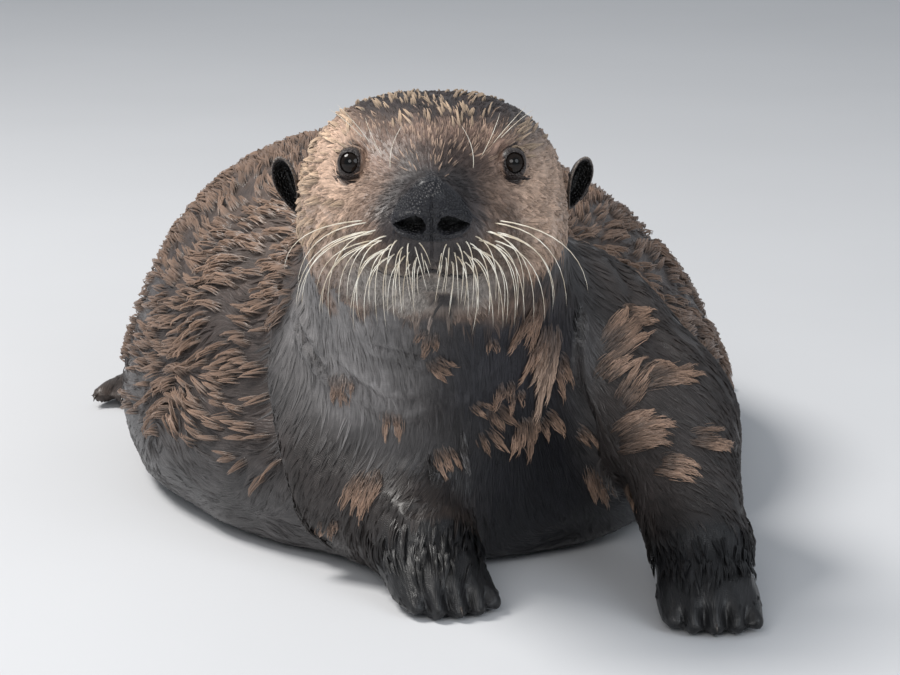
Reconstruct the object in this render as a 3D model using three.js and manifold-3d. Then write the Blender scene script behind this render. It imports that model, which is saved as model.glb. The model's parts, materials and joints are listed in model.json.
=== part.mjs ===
// A life-size sea otter resting on its belly and hindquarters, chest raised on its forelegs, head up
// and facing forward. Millimetres, +Z up, the floor at z = 0; the otter faces -Y and +X is its left side.
// The origin is on the floor under the middle of the chest and belly.
//
// Each body part is a field of smoothly joined ellipsoids and tapered limbs, out to the tips of the coat.
// A sphere geometry is shrunk onto that field round a curve that runs through the part. The trunk, neck
// and head are one such skin, parted with thin cuts; limbs, ears, eyes, nose and tail are seated on it.

import * as THREE from 'three';
import { mergeVertices } from 'three/addons/utils/BufferGeometryUtils.js';
import Module from 'manifold-3d';

const wasm = await Module();
wasm.setup();

// ---------------------------------------------------------------------------------------------------
// Driving dimensions (mm)
// ---------------------------------------------------------------------------------------------------

const GAP = 0.3; // kept between pieces that touch
const SEAT = 0.4; // how far a cutting copy of a piece is grown, so that the gap survives faceting

const HEAD = {
  x: -9.5, // middle of the head, a little to the otter's right
  y: -240, // middle of the skull, front to back
  z: 222, // middle of the skull above the floor
  halfWidth: 71, // at the temples
  crown: 56, // from the middle of the skull to the top
  noseY: -350, // front of the nose
  noseZ: 235, // middle of the nose leather
  mouthZ: 199, // lips, at the front
};

const EYE = { spacing: 84, z: 249, diameter: 16, proud: 3 };
const EAR = { height: 31, width: 16, thickness: 9, y: -226, z: 227, out: 79 };
const NOSE = { width: 36, height: 36, depth: 24 };

const TRUNK = {
  halfWidth: 202, // of the spread belly
  middleX: -15,
  hipY: 60, // widest point, front to back
  ridgeX: -48, // the back's ridge lies towards the otter's right
  backZ: 213, // top of the back
  rumpY: 455,
};

const TAIL = { width: 72, thickness: 32 };

const TOES = {
  fore: { count: 5, width: 46, fan: 1, length: 36, bow: 0.36, slant: 0.06, radius: 7.4, lift: 4 },
  hind: { count: 5, width: 62, fan: 8, length: 88, bow: 0.12, slant: 0.2, radius: 9, lift: 2 },
};

const RIM = { body: 9, foot: 5 }; // rounding where the coat meets the floor

// Cuts between the parts of the body: a point on the plane and its normal
const CUTS = {
  muzzle: [[0, -300, 220], [0, 1, 0]],
  head: [[0, -186, 200], [0, 0.85, -0.5]],
  neck: [[0, -124, 120], [0, 0.8, -0.6]],
  chest: [[0, -10, 0], [0, 1, 0]],
  belly: [[0, 240, 0], [0, 1, 0]],
  jaw: [[0, -335, HEAD.mouthZ], [0, 0.25, 1]],
};

// Facets round each skin and along it
const FACETS = {
  core: [30, 38],
  arm: [16, 18],
  paw: [26, 12],
  haunch: [18, 12],
  foot: [22, 12],
  tail: [14, 14],
  ear: [12, 8],
  earCup: [10, 6],
  nose: [16, 10],
  nostril: [8, 6],
  eye: [12, 8],
};

// ---------------------------------------------------------------------------------------------------
// Fields: functions of a point that are negative inside, about a distance in mm
// ---------------------------------------------------------------------------------------------------

const at = (x, y, z) => new THREE.Vector3(x, y, z);

/** An ellipsoid, turned by degrees about X, Y and Z. */
function ellipsoid(center, radii, turn = [0, 0, 0]) {
  const angles = turn.map(THREE.MathUtils.degToRad);
  const inverse = new THREE.Quaternion().setFromEuler(new THREE.Euler(...angles)).invert();
  return (point) => {
    const q = point.clone().sub(center).applyQuaternion(inverse);
    const near = Math.hypot(q.x / radii[0], q.y / radii[1], q.z / radii[2]);
    const slope = Math.hypot(q.x / radii[0] ** 2, q.y / radii[1] ** 2, q.z / radii[2] ** 2);
    return slope > 0 ? (near * (near - 1)) / slope : -Math.min(...radii);
  };
}

/** A limb with round ends that tapers from one joint to the next. */
function limb(start, startRadius, end, endRadius) {
  const axis = end.clone().sub(start);
  const lengthSquared = axis.lengthSq();
  return (point) => {
    const q = point.clone().sub(start);
    const along = THREE.MathUtils.clamp(q.dot(axis) / lengthSquared, 0, 1);
    const radius = THREE.MathUtils.lerp(startRadius, endRadius, along);
    return q.addScaledVector(axis, -along).length() - radius;
  };
}

/** Fields joined with a fillet of about the given size. */
function blend(fillet, ...fields) {
  return (point) => fields.reduce((joined, field) => {
    const next = field(point);
    if (joined === null) return next;
    const mix = Math.max(fillet - Math.abs(joined - next), 0) / fillet;
    return Math.min(joined, next) - (mix * mix * fillet) / 4;
  }, null);
}

/** The same field cut off flat at the floor, with a rounded rim. */
function onFloor(field, rim = RIM.body) {
  return (point) => {
    const inside = field(point);
    const below = -point.z;
    const mix = Math.max(rim - Math.abs(inside - below), 0) / rim;
    return Math.max(inside, below) + (mix * mix * rim) / 4;
  };
}

/** The same field grown outwards, to cut a seat for a piece into its neighbour. */
const grown = (field, amount) => (point) => field(point) - amount;

// ---------------------------------------------------------------------------------------------------
// Skins: sphere geometries shrunk onto a field
// ---------------------------------------------------------------------------------------------------

const FAR = 420; // rays start this far from the curve
const CLOSE = 0.01; // and stop this near the surface
const EASE = 0.7; // share of the field's distance taken at each step
const MAX_STEPS = 300;

/** Walks inwards along a ray until it crosses the surface, then halves the last step onto it. */
function surfacePoint(field, origin, direction, reach) {
  const along = (travel) => origin.clone().addScaledVector(direction, travel);
  let outside = reach;
  let inside = 0;
  for (let step = 0; step < MAX_STEPS && outside > 0; step += 1) {
    const distance = field(along(outside));
    if (distance < CLOSE) {
      inside = outside;
      break;
    }
    inside = Math.max(outside - distance * EASE, 0);
    if (field(along(inside)) < 0) break;
    outside = inside;
  }
  while (outside - inside > CLOSE) {
    const middle = (outside + inside) / 2;
    if (field(along(middle)) < 0) inside = middle;
    else outside = middle;
  }
  const point = along(outside);
  if (Math.abs(point.z) < 4 * CLOSE) point.z = 0;
  return point;
}

/**
 * A closed geometry round a curve, whose ends the sphere's poles go to. `reference` is any direction that
 * the curve never runs along; `wide` sends more rays sideways, for a flat shape.
 */
function skin(field, curve, [around, along], { reference = at(0, 0, 1), reach = FAR, wide = 1 } = {}) {
  const geometry = new THREE.SphereGeometry(1, around, along);
  const position = geometry.attributes.position;
  const vertex = at(0, 0, 0);
  for (let i = 0; i < position.count; i += 1) {
    vertex.fromBufferAttribute(position, i);
    const polar = Math.acos(THREE.MathUtils.clamp(vertex.y, -1, 1)) / Math.PI;
    const tangent = curve.getTangent(polar);
    const side = reference.clone().cross(tangent).normalize();
    const up = tangent.clone().cross(side).normalize();
    const endness = Math.cos(Math.PI * polar);
    const round = Math.hypot(vertex.x, vertex.z);
    const direction = tangent.clone().multiplyScalar(-endness * Math.abs(endness) ** 1.5);
    if (round > 1e-6) {
      direction.addScaledVector(side, vertex.x * wide).addScaledVector(up, vertex.z);
    }
    direction.normalize();
    const surface = surfacePoint(field, curve.getPoint(polar), direction, reach);
    position.setXYZ(i, surface.x, surface.y, surface.z);
  }
  shortenDiagonals(geometry);
  return geometry;
}

/** Splits each four-sided cell of a sphere geometry along its shorter diagonal. */
function shortenDiagonals(geometry) {
  const { position } = geometry.attributes;
  const { widthSegments, heightSegments } = geometry.parameters;
  const index = geometry.index.array;
  const corner = (i) => at(0, 0, 0).fromBufferAttribute(position, i);
  // the first and last rows of a sphere are single triangles, and its cells are [a, b, d], [b, c, d]
  for (let i = widthSegments * 3; i < (heightSegments - 1) * widthSegments * 6 - widthSegments * 3; i += 6) {
    const [a, b, d, , c] = index.slice(i, i + 5);
    if (corner(a).distanceTo(corner(c)) < corner(b).distanceTo(corner(d))) {
      index.set([a, b, c, a, c, d], i);
    }
  }
}

// ---------------------------------------------------------------------------------------------------
// Solids: joining and cutting
// ---------------------------------------------------------------------------------------------------

function toSolid(geometry) {
  const bare = geometry.clone();
  bare.deleteAttribute('normal');
  bare.deleteAttribute('uv');
  const merged = mergeVertices(bare, 1e-4);
  return new wasm.Manifold(new wasm.Mesh({
    numProp: 3,
    vertProperties: new Float32Array(merged.attributes.position.array),
    triVerts: new Uint32Array(merged.index.array),
  }));
}

function toGeometry(solid) {
  const { vertProperties, triVerts } = solid.getMesh();
  const geometry = new THREE.BufferGeometry();
  geometry.setAttribute('position', new THREE.BufferAttribute(vertProperties, 3));
  geometry.setIndex(new THREE.BufferAttribute(triVerts, 1));
  geometry.computeVertexNormals();
  return geometry;
}

const HALF_SPACE = 1600;

/** A large block that fills the far side of a plane, starting half a gap beyond it. */
function beyond(point, normal) {
  const block = new THREE.BoxGeometry(HALF_SPACE, HALF_SPACE, HALF_SPACE);
  block.translate(0, 0, HALF_SPACE / 2 + GAP / 2);
  const facing = new THREE.Quaternion().setFromUnitVectors(at(0, 0, 1), normal.clone().normalize());
  block.applyQuaternion(facing).translate(point.x, point.y, point.z);
  return toSolid(block);
}

/** Parts a solid at a plane into the piece behind the plane's normal and the piece in front of it. */
function part(solid, point, normal) {
  return [
    solid.intersect(beyond(point, normal.clone().negate())),
    solid.intersect(beyond(point, normal)),
  ];
}

const partAt = (solid, [point, normal]) => part(solid, at(...point), at(...normal));

// ---------------------------------------------------------------------------------------------------
// Trunk, neck and head
// ---------------------------------------------------------------------------------------------------

const headAt = (dx, dy, dz) => at(HEAD.x + dx, HEAD.y + dy, HEAD.z + dz);

const temple = (side) => ellipsoid(headAt(side * (HEAD.halfWidth - 43), 4, 9), [42, 52, 43]);
const cheek = (side) => ellipsoid(headAt(side * 23, 2, -18), [43, 56, 45]);
const whiskerPad = (side) => ellipsoid(headAt(side * 20, -76, -4), [26, 27, 20]);

const skull = blend(
  20,
  ellipsoid(headAt(0, 6, 2), [HEAD.halfWidth - 8, 64, HEAD.crown - 2]),
  ellipsoid(headAt(0, -14, 0), [60, 68, 51], [10, 0, 0]),
  blend(8, temple(-1), temple(1)),
  blend(8, cheek(-1), cheek(1)),
);

const bridge = limb(headAt(0, -40, 16), 36, headAt(0, -84, 11), 20);
const chin = ellipsoid(headAt(0, -66, -18), [30, 27, 14]);
const muzzle = blend(14, bridge, whiskerPad(-1), whiskerPad(1), chin);

const neck = blend(
  40,
  limb(at(-8, -206, 180), 70, at(-4, -158, 128), 80),
  limb(at(-4, -158, 128), 80, at(-6, -95, 92), 96),
);

const breast = ellipsoid(at(0, -88, 62), [114, 118, 108]);
const spreadBelly = ellipsoid(at(TRUNK.middleX, TRUNK.hipY, 30), [TRUNK.halfWidth, 278, 97]);
const ridge = ellipsoid(at(TRUNK.ridgeX, TRUNK.hipY, 95), [147, 200, TRUNK.backZ - 95]);
const leftFlank = ellipsoid(at(24, TRUNK.hipY, 76), [130, 188, 101]);
const rumpForm = ellipsoid(at(-26, TRUNK.rumpY - 185, 56), [124, 186, 84]);
const trunk = blend(60, breast, spreadBelly, ridge, leftFlank, rumpForm);

const core = onFloor(blend(34, trunk, blend(30, neck, blend(16, skull, muzzle))));

const through = (points) => new THREE.CatmullRomCurve3(points, false, 'centripetal');

// from the rump, along the trunk and up the neck to the muzzle
const coreCurve = through([
  at(-28, TRUNK.rumpY - 110, 52),
  at(-26, 200, 66),
  at(-18, TRUNK.hipY, 84),
  at(-8, -60, 92),
  at(-5, -140, 130),
  at(-8, -205, 186),
  headAt(0, -10, -7),
  headAt(0, -65, 0),
]);

const coreSkin = (amount) => toSolid(skin(grown(core, amount), coreCurve, FACETS.core));

const body = coreSkin(0);
const bodySeat = coreSkin(SEAT);

const [muzzleFront, behindMuzzle] = partAt(body, CUTS.muzzle);
const [headPiece, behindHead] = partAt(behindMuzzle, CUTS.head);
const [neckPiece, behindNeck] = partAt(behindHead, CUTS.neck);
const [chestPiece, behindChest] = partAt(behindNeck, CUTS.chest);
const [bellyPiece, rumpPiece] = partAt(behindChest, CUTS.belly);
const [jawPiece, muzzlePiece] = partAt(muzzleFront, CUTS.jaw);

// ---------------------------------------------------------------------------------------------------
// Eyes, ears and nose
// ---------------------------------------------------------------------------------------------------

function eye(side) {
  const x = HEAD.x + (side * EYE.spacing) / 2;
  const front = surfacePoint(core, at(x, HEAD.y, EYE.z), at(0, -1, 0), 200);
  const radius = EYE.diameter / 2;
  const center = front.clone().add(at(0, radius - EYE.proud, 0));
  const ball = (size) => {
    const geometry = new THREE.SphereGeometry(size, ...FACETS.eye);
    return toSolid(geometry.translate(center.x, center.y, center.z));
  };
  return { ball: ball(radius), socket: ball(radius + SEAT) };
}

const eyes = { left: eye(1), right: eye(-1) };

/** A small upright shell, cupped towards the front. */
function ear(side) {
  const middle = at(HEAD.x + side * EAR.out, EAR.y, EAR.z);
  const from = (dx, dy, dz) => middle.clone().add(at(side * dx, dy, dz));
  const tilt = [-8, side * 14, side * 12];
  const upright = at(0, 1, 0);

  const shell = ellipsoid(middle, [EAR.width / 2, EAR.thickness / 2, EAR.height / 2], tilt);
  const stalk = limb(from(-12, 8, -12), 10, middle, 5);
  const shellCurve = new THREE.LineCurve3(from(-5, 2, -8), from(0, 0, 8));
  const solid = skin(blend(6, shell, stalk), shellCurve, FACETS.ear, { reference: upright, reach: 60 });

  const mouthY = -EAR.thickness * 0.55;
  const cupRadii = [EAR.width * 0.34, -mouthY, EAR.height * 0.32];
  const cup = ellipsoid(from(1.2, mouthY, 2), cupRadii, tilt);
  const cupCurve = new THREE.LineCurve3(from(0, mouthY, 0), from(0, mouthY, 4));
  const hollow = skin(cup, cupCurve, FACETS.earCup, { reference: upright, reach: 40 });

  return toSolid(solid).subtract(toSolid(hollow)).subtract(bodySeat);
}

const noseAt = (dx, dy, dz) => at(HEAD.x + dx, HEAD.noseY + dy, HEAD.noseZ + dz);

const pad = ellipsoid(noseAt(0, 13, 7), [NOSE.width * 0.4, NOSE.depth / 2, NOSE.height * 0.36]);
const wingRadii = [NOSE.width * 0.27, NOSE.depth / 2, NOSE.height * 0.24];
const wing = (side) => ellipsoid(noseAt(side * 10, 12, -7), wingRadii);
const leather = blend(5, pad, wing(-1), wing(1));

const noseCurve = new THREE.LineCurve3(noseAt(0, 17, 0), noseAt(0, 9, 0));
const noseSkin = (amount) => toSolid(skin(grown(leather, amount), noseCurve, FACETS.nose, { reach: 60 }));

function nostril(side) {
  const field = ellipsoid(noseAt(side * 11, 0, -8), [7.5, 8, 4.2], [0, side * 12, 0]);
  const curve = new THREE.LineCurve3(noseAt(side * 10, 0, -8), noseAt(side * 12, 0, -8));
  return toSolid(skin(field, curve, FACETS.nostril, { reach: 30 }));
}

const nosePiece = noseSkin(0).subtract(nostril(1)).subtract(nostril(-1));
const noseSeat = noseSkin(SEAT);

// ---------------------------------------------------------------------------------------------------
// Limbs and tail
// ---------------------------------------------------------------------------------------------------

/** Forward and leftward on the floor, for a foot turned by `heading` degrees to the otter's left. */
function turned(heading) {
  const angle = THREE.MathUtils.degToRad(heading);
  return {
    forward: at(Math.sin(angle), -Math.cos(angle), 0),
    leftward: at(Math.cos(angle), Math.sin(angle), 0),
  };
}

/**
 * A row of toes in front of a palm. `bow` shortens the outer ones, `slant` makes those on the otter's left
 * longer, `fan` spreads the tips and `lift` raises the roots.
 */
function toes(palm, heading, { count, width, fan, length, bow, slant, radius, lift }) {
  const { forward, leftward } = turned(heading);
  return Array.from({ length: count }, (_, i) => {
    const place = (i / (count - 1)) * 2 - 1; // -1 on the otter's right to 1 on its left
    const reach = length * (1 - bow * place * place + slant * place);
    const root = palm.clone().addScaledVector(leftward, (place * width) / 2);
    const tip = root.clone().addScaledVector(leftward, place * fan).addScaledVector(forward, reach);
    root.z = radius + lift;
    tip.z = radius * 0.8;
    return limb(root, radius * 1.1, tip, radius);
  });
}

/** Field of a limb through its joints, given as [point, radius]. */
function chain(fillet, joints) {
  return blend(fillet, ...joints.slice(1).map((joint, i) => limb(...joints[i], ...joint)));
}

/** A field with heights squeezed towards the floor. */
const flattened = (ratio, field) => (point) => field(at(point.x, point.y, point.z / ratio)) * ratio;

function foreleg({ shoulder, elbow, wrist, palm, radii, heading }) {
  const arm = chain(24, [[shoulder, radii[0]], [elbow, radii[1]], [wrist, radii[2]]]);
  const hand = ellipsoid(palm, [29, 31, 20], [0, 0, heading]);
  const fingers = toes(palm, heading, TOES.fore);
  const { forward } = turned(heading);
  const armField = onFloor(blend(18, arm, hand));
  const pawField = onFloor(blend(3, blend(12, arm, hand), blend(1, ...fingers)), RIM.foot);
  const armCurve = through([shoulder, elbow, wrist, palm.clone().addScaledVector(forward, 4)]);
  const pawCurve = through([
    wrist.clone().addScaledVector(forward, -8),
    palm.clone().addScaledVector(forward, 12),
  ]);
  const cutNormal = forward.clone().multiplyScalar(0.75).add(at(0, 0, -0.66));
  const cutPoint = wrist.clone().addScaledVector(forward, 6);
  const [upper] = part(toSolid(skin(armField, armCurve, FACETS.arm)), cutPoint, cutNormal);
  const [, paw] = part(toSolid(skin(pawField, pawCurve, FACETS.paw, { wide: 1.6 })), cutPoint, cutNormal);
  return { upper: upper.subtract(bodySeat), paw: paw.subtract(bodySeat) };
}

const forelegs = {
  left: foreleg({
    shoulder: at(72, -138, 128),
    elbow: at(123, -186, 86),
    wrist: at(138, -258, 34),
    palm: at(139, -292, 15),
    radii: [54, 41, 31],
    heading: 4,
  }),
  right: foreleg({
    shoulder: at(-60, -146, 104),
    elbow: at(-45, -178, 50),
    wrist: at(-16, -240, 31),
    palm: at(-7, -265, 15),
    radii: [48, 48, 32],
    heading: 20,
  }),
};

function hindleg({ side, hip, heel, sole, heading }) {
  const { forward } = turned(heading);
  const thigh = (amount) => {
    const haunch = ellipsoid(hip, [56, 88, 64]);
    const field = onFloor(grown(blend(30, haunch, limb(hip, 40, heel, 31)), amount));
    return toSolid(skin(field, through([hip, heel]), FACETS.haunch));
  };
  const blade = flattened(0.36, chain(8, [[heel.clone().setZ(30), 36], [sole.clone().setZ(26), 46]]));
  const digits = toes(sole, heading, { ...TOES.hind, slant: side * TOES.hind.slant });
  const field = onFloor(blend(12, blade, blend(9, ...digits)), RIM.foot);
  const webCurve = [heel, sole, sole.clone().addScaledVector(forward, 50)].map((p) => p.clone().setZ(8));
  const foot = toSolid(skin(field, through(webCurve), FACETS.foot, { wide: 3 }));
  return {
    upper: thigh(0).subtract(bodySeat),
    foot: foot.subtract(bodySeat).subtract(thigh(SEAT)),
  };
}

const hindlegs = {
  left: hindleg({
    side: 1,
    hip: at(56, 296, 50),
    heel: at(94, 362, 28),
    sole: at(122, 292, 12),
    heading: 20,
  }),
  right: hindleg({
    side: -1,
    hip: at(-112, 280, 50),
    heel: at(-146, 338, 28),
    sole: at(-174, 248, 12),
    heading: -18,
  }),
};

const TAIL_FLATNESS = TAIL.thickness / TAIL.width;
const tailJoints = [
  [at(-32, 404, 33), TAIL.width / 2],
  [at(-40, 470, 14.5), 34],
  [at(-60, 560, 10.5), 30],
  [at(-90, 640, 8.5), 24],
  [at(-104, 676, 6.5), 17],
];
const tailPath = tailJoints.map(([point]) => point);
const tallTail = tailJoints.map(([point, radius]) => [point.clone().setZ(point.z / TAIL_FLATNESS), radius]);
const tailField = onFloor(flattened(TAIL_FLATNESS, chain(3, tallTail)), RIM.foot);
const tailPiece = toSolid(skin(tailField, through(tailPath), FACETS.tail, { wide: 1.8 })).subtract(bodySeat);

// ---------------------------------------------------------------------------------------------------
// The model
// ---------------------------------------------------------------------------------------------------

const otter = new THREE.Group();

function add(name, solid, color, roughness) {
  const material = new THREE.MeshStandardMaterial({ color, roughness, metalness: 0 });
  const mesh = new THREE.Mesh(toGeometry(solid), material);
  mesh.name = name;
  otter.add(mesh);
}

const COLORS = {
  face: '#b9957c',
  muzzle: '#6f625c',
  throat: '#4a4240',
  wet: '#3f3a3a',
  back: '#5a4a42',
  paw: '#222124',
  nose: '#3c3e50',
  ear: '#2a2426',
  eye: '#15161a',
};

add('muzzle', muzzlePiece.subtract(noseSeat), COLORS.muzzle, 0.7);
add('jaw', jawPiece, COLORS.muzzle, 0.7);
add('head', headPiece.subtract(eyes.left.socket).subtract(eyes.right.socket), COLORS.face, 0.8);
add('nose', nosePiece, COLORS.nose, 0.4);
add('neck', neckPiece, COLORS.throat, 0.6);
add('chest', chestPiece, COLORS.wet, 0.6);
add('belly', bellyPiece, COLORS.back, 0.7);
add('rump', rumpPiece, COLORS.back, 0.7);
add('tail', tailPiece, COLORS.back, 0.7);
for (const [name, side] of [['left', 1], ['right', -1]]) {
  add(`eye_${name}`, eyes[name].ball, COLORS.eye, 0.1);
  add(`ear_${name}`, ear(side), COLORS.ear, 0.7);
  add(`foreleg_${name}`, forelegs[name].upper, COLORS.wet, 0.6);
  add(`forepaw_${name}`, forelegs[name].paw, COLORS.paw, 0.5);
  add(`hindleg_${name}`, hindlegs[name].upper, COLORS.back, 0.7);
  add(`hindfoot_${name}`, hindlegs[name].foot, COLORS.paw, 0.6);
}

export default otter;
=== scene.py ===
"""Sea otter: a still, life-size model of a wet adult lying on its belly, raised on its forepaws.

The frame holds the body as plain solids, out to the tips of the coat. Here one sculpted skin stands for all
of the flesh and lies inside those solids by the coat's depth. Over it come locks of wet fur, whiskers, eyes
and claws. Every operator builds one kind of piece, and main() calls them in order.
"""
import functools
import json
import math

import bmesh
import bpy
import numpy as np
from bpy.props import FloatProperty, FloatVectorProperty, PointerProperty
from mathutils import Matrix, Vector
from mathutils.bvhtree import BVHTree
from mathutils.kdtree import KDTree

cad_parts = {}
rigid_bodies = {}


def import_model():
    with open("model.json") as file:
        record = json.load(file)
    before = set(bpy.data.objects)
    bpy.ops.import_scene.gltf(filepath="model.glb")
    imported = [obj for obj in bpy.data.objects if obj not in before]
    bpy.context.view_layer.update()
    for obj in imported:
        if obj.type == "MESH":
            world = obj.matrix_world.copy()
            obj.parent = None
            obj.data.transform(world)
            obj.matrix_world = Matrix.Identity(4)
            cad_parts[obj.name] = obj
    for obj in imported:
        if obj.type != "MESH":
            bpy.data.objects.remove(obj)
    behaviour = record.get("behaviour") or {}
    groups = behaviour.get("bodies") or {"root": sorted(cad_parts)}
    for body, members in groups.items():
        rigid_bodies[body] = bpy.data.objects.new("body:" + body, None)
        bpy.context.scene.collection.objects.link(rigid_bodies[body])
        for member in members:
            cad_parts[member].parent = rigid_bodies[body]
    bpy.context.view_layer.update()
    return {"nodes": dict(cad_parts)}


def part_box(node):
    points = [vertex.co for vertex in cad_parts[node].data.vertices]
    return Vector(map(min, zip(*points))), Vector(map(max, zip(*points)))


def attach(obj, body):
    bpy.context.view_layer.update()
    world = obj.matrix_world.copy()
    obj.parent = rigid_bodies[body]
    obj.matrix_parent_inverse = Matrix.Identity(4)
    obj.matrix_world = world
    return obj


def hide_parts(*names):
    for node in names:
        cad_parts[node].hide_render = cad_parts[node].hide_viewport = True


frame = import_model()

bl_info = {
    "name": "Sea Otter",
    "version": (1, 0, 0),
    "blender": (4, 5, 0),
    "location": "View3D > Sidebar > Sea Otter",
    "description": "Builds the skin, coat, face and claws of a sea otter round its packed solids",
    "category": "Object",
}

MM = 0.001
SEED = 7

# -------------------------------- places read from the frame

EYES = ("eye_left", "eye_right")
EARS = ("ear_left", "ear_right")
FORE_PAWS = ("forepaw_left", "forepaw_right")
HIND_FEET = ("hindfoot_left", "hindfoot_right")
FLESH = [name for name in frame["nodes"] if name not in EYES + EARS]


def middle(node):
    low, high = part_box(node)
    return np.array((low + high) / 2)


def span(node):
    low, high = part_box(node)
    return np.array(high - low)


NOSE = middle("nose")
FACE_X = NOSE[0]
NOSE_TIP_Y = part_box("nose")[0].y
EYE_RADIUS = span("eye_left")[0] / 2
FACE_FRONT = -0.3  # points with a lower Y are on the front of the face
AHEAD = -0.6  # Y of places ahead of the whole otter, from which rays look back at it


# -------------------------------- small helpers

def smooth_step(low, high, values):
    """0 on the side of `low` and 1 on the side of `high`, with a soft passage between them."""
    t = np.clip((values - low) / (high - low), 0, 1)
    return t * t * (3 - 2 * t)


def unit(vectors):
    length = np.linalg.norm(vectors, axis=-1, keepdims=True)
    return vectors / np.maximum(length, 1e-12)


def hump(distance, radius):
    """A rounded weight: 1 at no distance, near 0 past the radius."""
    return np.exp(-((distance / radius) ** 2) * 2)


def read(collection, name, width, kind=np.float32):
    """One property of every item of a Blender collection, as an array with `width` numbers to an item."""
    values = np.empty(len(collection) * width, kind)
    collection.foreach_get(name, values)
    return values.reshape(-1, width) if width > 1 else values


def points_of(mesh):
    return read(mesh.vertices, "co", 3).astype(float)


def write_points(mesh, points):
    mesh.vertices.foreach_set("co", points.astype(np.float32).ravel())
    mesh.update()


def normals_of(mesh):
    return read(mesh.vertex_normals, "vector", 3).astype(float)


def edges_of(mesh):
    return read(mesh.edges, "vertices", 2, np.int32)


def diffuse(values, edges, rounds, share=0.5):
    """Averages values with their neighbours'. `share` may be a number or one number per vertex."""
    count = len(values)
    a, b = edges.T
    degree = np.maximum(np.bincount(a, minlength=count) + np.bincount(b, minlength=count), 1)
    share = np.broadcast_to(share, count)
    values = values.copy()
    for _ in range(rounds):
        for k in range(values.shape[1]):
            column = values[:, k]
            total = np.bincount(a, column[b], count) + np.bincount(b, column[a], count)
            values[:, k] = column + share * (total / degree - column)
    return values


def hit_from_front(tree, x, z):
    """Place and normal where a ray that runs straight back from ahead of the otter meets a surface."""
    return tree.ray_cast(Vector((x, AHEAD, z)), Vector((0, 1, 0)))[:2]


def ring_faces(rings, sides):
    """Quads that join each ring of points to the next."""
    faces = []
    for ring in range(rings - 1):
        for k in range(sides):
            a, b = ring * sides + k, ring * sides + (k + 1) % sides
            faces.append((a, b, b + sides, a + sides))
    return faces


def new_object(name, mesh):
    obj = bpy.data.objects.new(name, mesh)
    bpy.context.scene.collection.objects.link(obj)
    return obj


def mesh_from(name, points, faces):
    mesh = bpy.data.meshes.new(name)
    mesh.from_pydata(np.asarray(points).tolist(), [], [list(map(int, f)) for f in faces])
    mesh.validate()
    mesh.shade_smooth()
    return mesh


# -------------------------------- the regions of the body

# Groups of nodes whose coat is alike: depth of the coat over the skin and rounds of smoothing of the skin
REGIONS = {
    "face": dict(nodes=("muzzle", "jaw", "nose"), depth=1.2 * MM, rounds=8),
    "head": dict(nodes=("head",), depth=1.9 * MM, rounds=20),
    "throat": dict(nodes=("neck",), depth=3.6 * MM, rounds=70),
    "trunk": dict(nodes=("chest", "belly", "rump"), depth=5.5 * MM, rounds=110),
    "tail": dict(nodes=("tail",), depth=3.5 * MM, rounds=30),
    "arm": dict(nodes=("foreleg_left", "foreleg_right"), depth=3.2 * MM, rounds=30),
    "paw": dict(nodes=FORE_PAWS, depth=0.6 * MM, rounds=5),
    "thigh": dict(nodes=("hindleg_left", "hindleg_right"), depth=4 * MM, rounds=50),
    "flipper": dict(nodes=HIND_FEET, depth=1.4 * MM, rounds=12),
}
REGION_NAMES = list(REGIONS)
BORDER_ROUNDS = 25  # rounds of averaging that blend the regions across their borders

SWELL = 0.5 * MM  # how far each node is grown, to reach into its neighbours
WELD = 0.01 * MM  # corners nearer to each other than this are one
SKIN_VOXEL = 4 * MM
FLOOR_CLEARANCE = 0.7 * MM  # least height of the skin over the floor


def region_table(key):
    """One setting of every region, in the order of REGION_NAMES."""
    return np.array([REGIONS[name][key] for name in REGION_NAMES], float)


def swollen_node(name, amount):
    """A node's welded mesh, grown a little so that it reaches into its neighbours."""
    bm = bmesh.new()
    bm.from_mesh(frame["nodes"][name].data)
    bmesh.ops.remove_doubles(bm, verts=bm.verts, dist=WELD)
    bm.normal_update()
    for vert in bm.verts:
        vert.co += vert.normal * amount
    return bm


def joined_flesh(amount):
    """One mesh of all flesh nodes, with their eye sockets filled."""
    joined = bmesh.new()
    for name in (*FLESH, *EYES):
        mesh = bpy.data.meshes.new("node_copy")
        bm = swollen_node(name, amount)
        bm.to_mesh(mesh)
        bm.free()
        joined.from_mesh(mesh)
        bpy.data.meshes.remove(mesh)
    mesh = bpy.data.meshes.new("flesh")
    joined.to_mesh(mesh)
    joined.free()
    return mesh


def remeshed(mesh, voxel):
    """The shape of a mesh as one closed surface of even squares, about `voxel` wide."""
    obj = new_object("flesh_to_remesh", mesh)
    remesh = obj.modifiers.new("Remesh", "REMESH")
    remesh.mode = "VOXEL"
    remesh.voxel_size = voxel
    graph = bpy.context.evaluated_depsgraph_get()
    result = bpy.data.meshes.new_from_object(obj.evaluated_get(graph))
    bpy.data.objects.remove(obj)
    return result


def keep_largest_shell(mesh):
    """Removes closed scraps that a remesh can leave inside the body."""
    edges = edges_of(mesh)
    label = np.arange(len(mesh.vertices))
    while True:
        lowest = label.copy()
        np.minimum.at(lowest, edges[:, 0], label[edges[:, 1]])
        np.minimum.at(lowest, edges[:, 1], label[edges[:, 0]])
        lowest = lowest[lowest]
        if (lowest == label).all():
            break
        label = lowest
    largest = np.bincount(label).argmax()
    bm = bmesh.new()
    bm.from_mesh(mesh)
    scraps = [vert for vert, mine in zip(bm.verts, label) if mine != largest]
    bmesh.ops.delete(bm, geom=scraps, context="VERTS")
    bm.to_mesh(mesh)
    bm.free()


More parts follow.
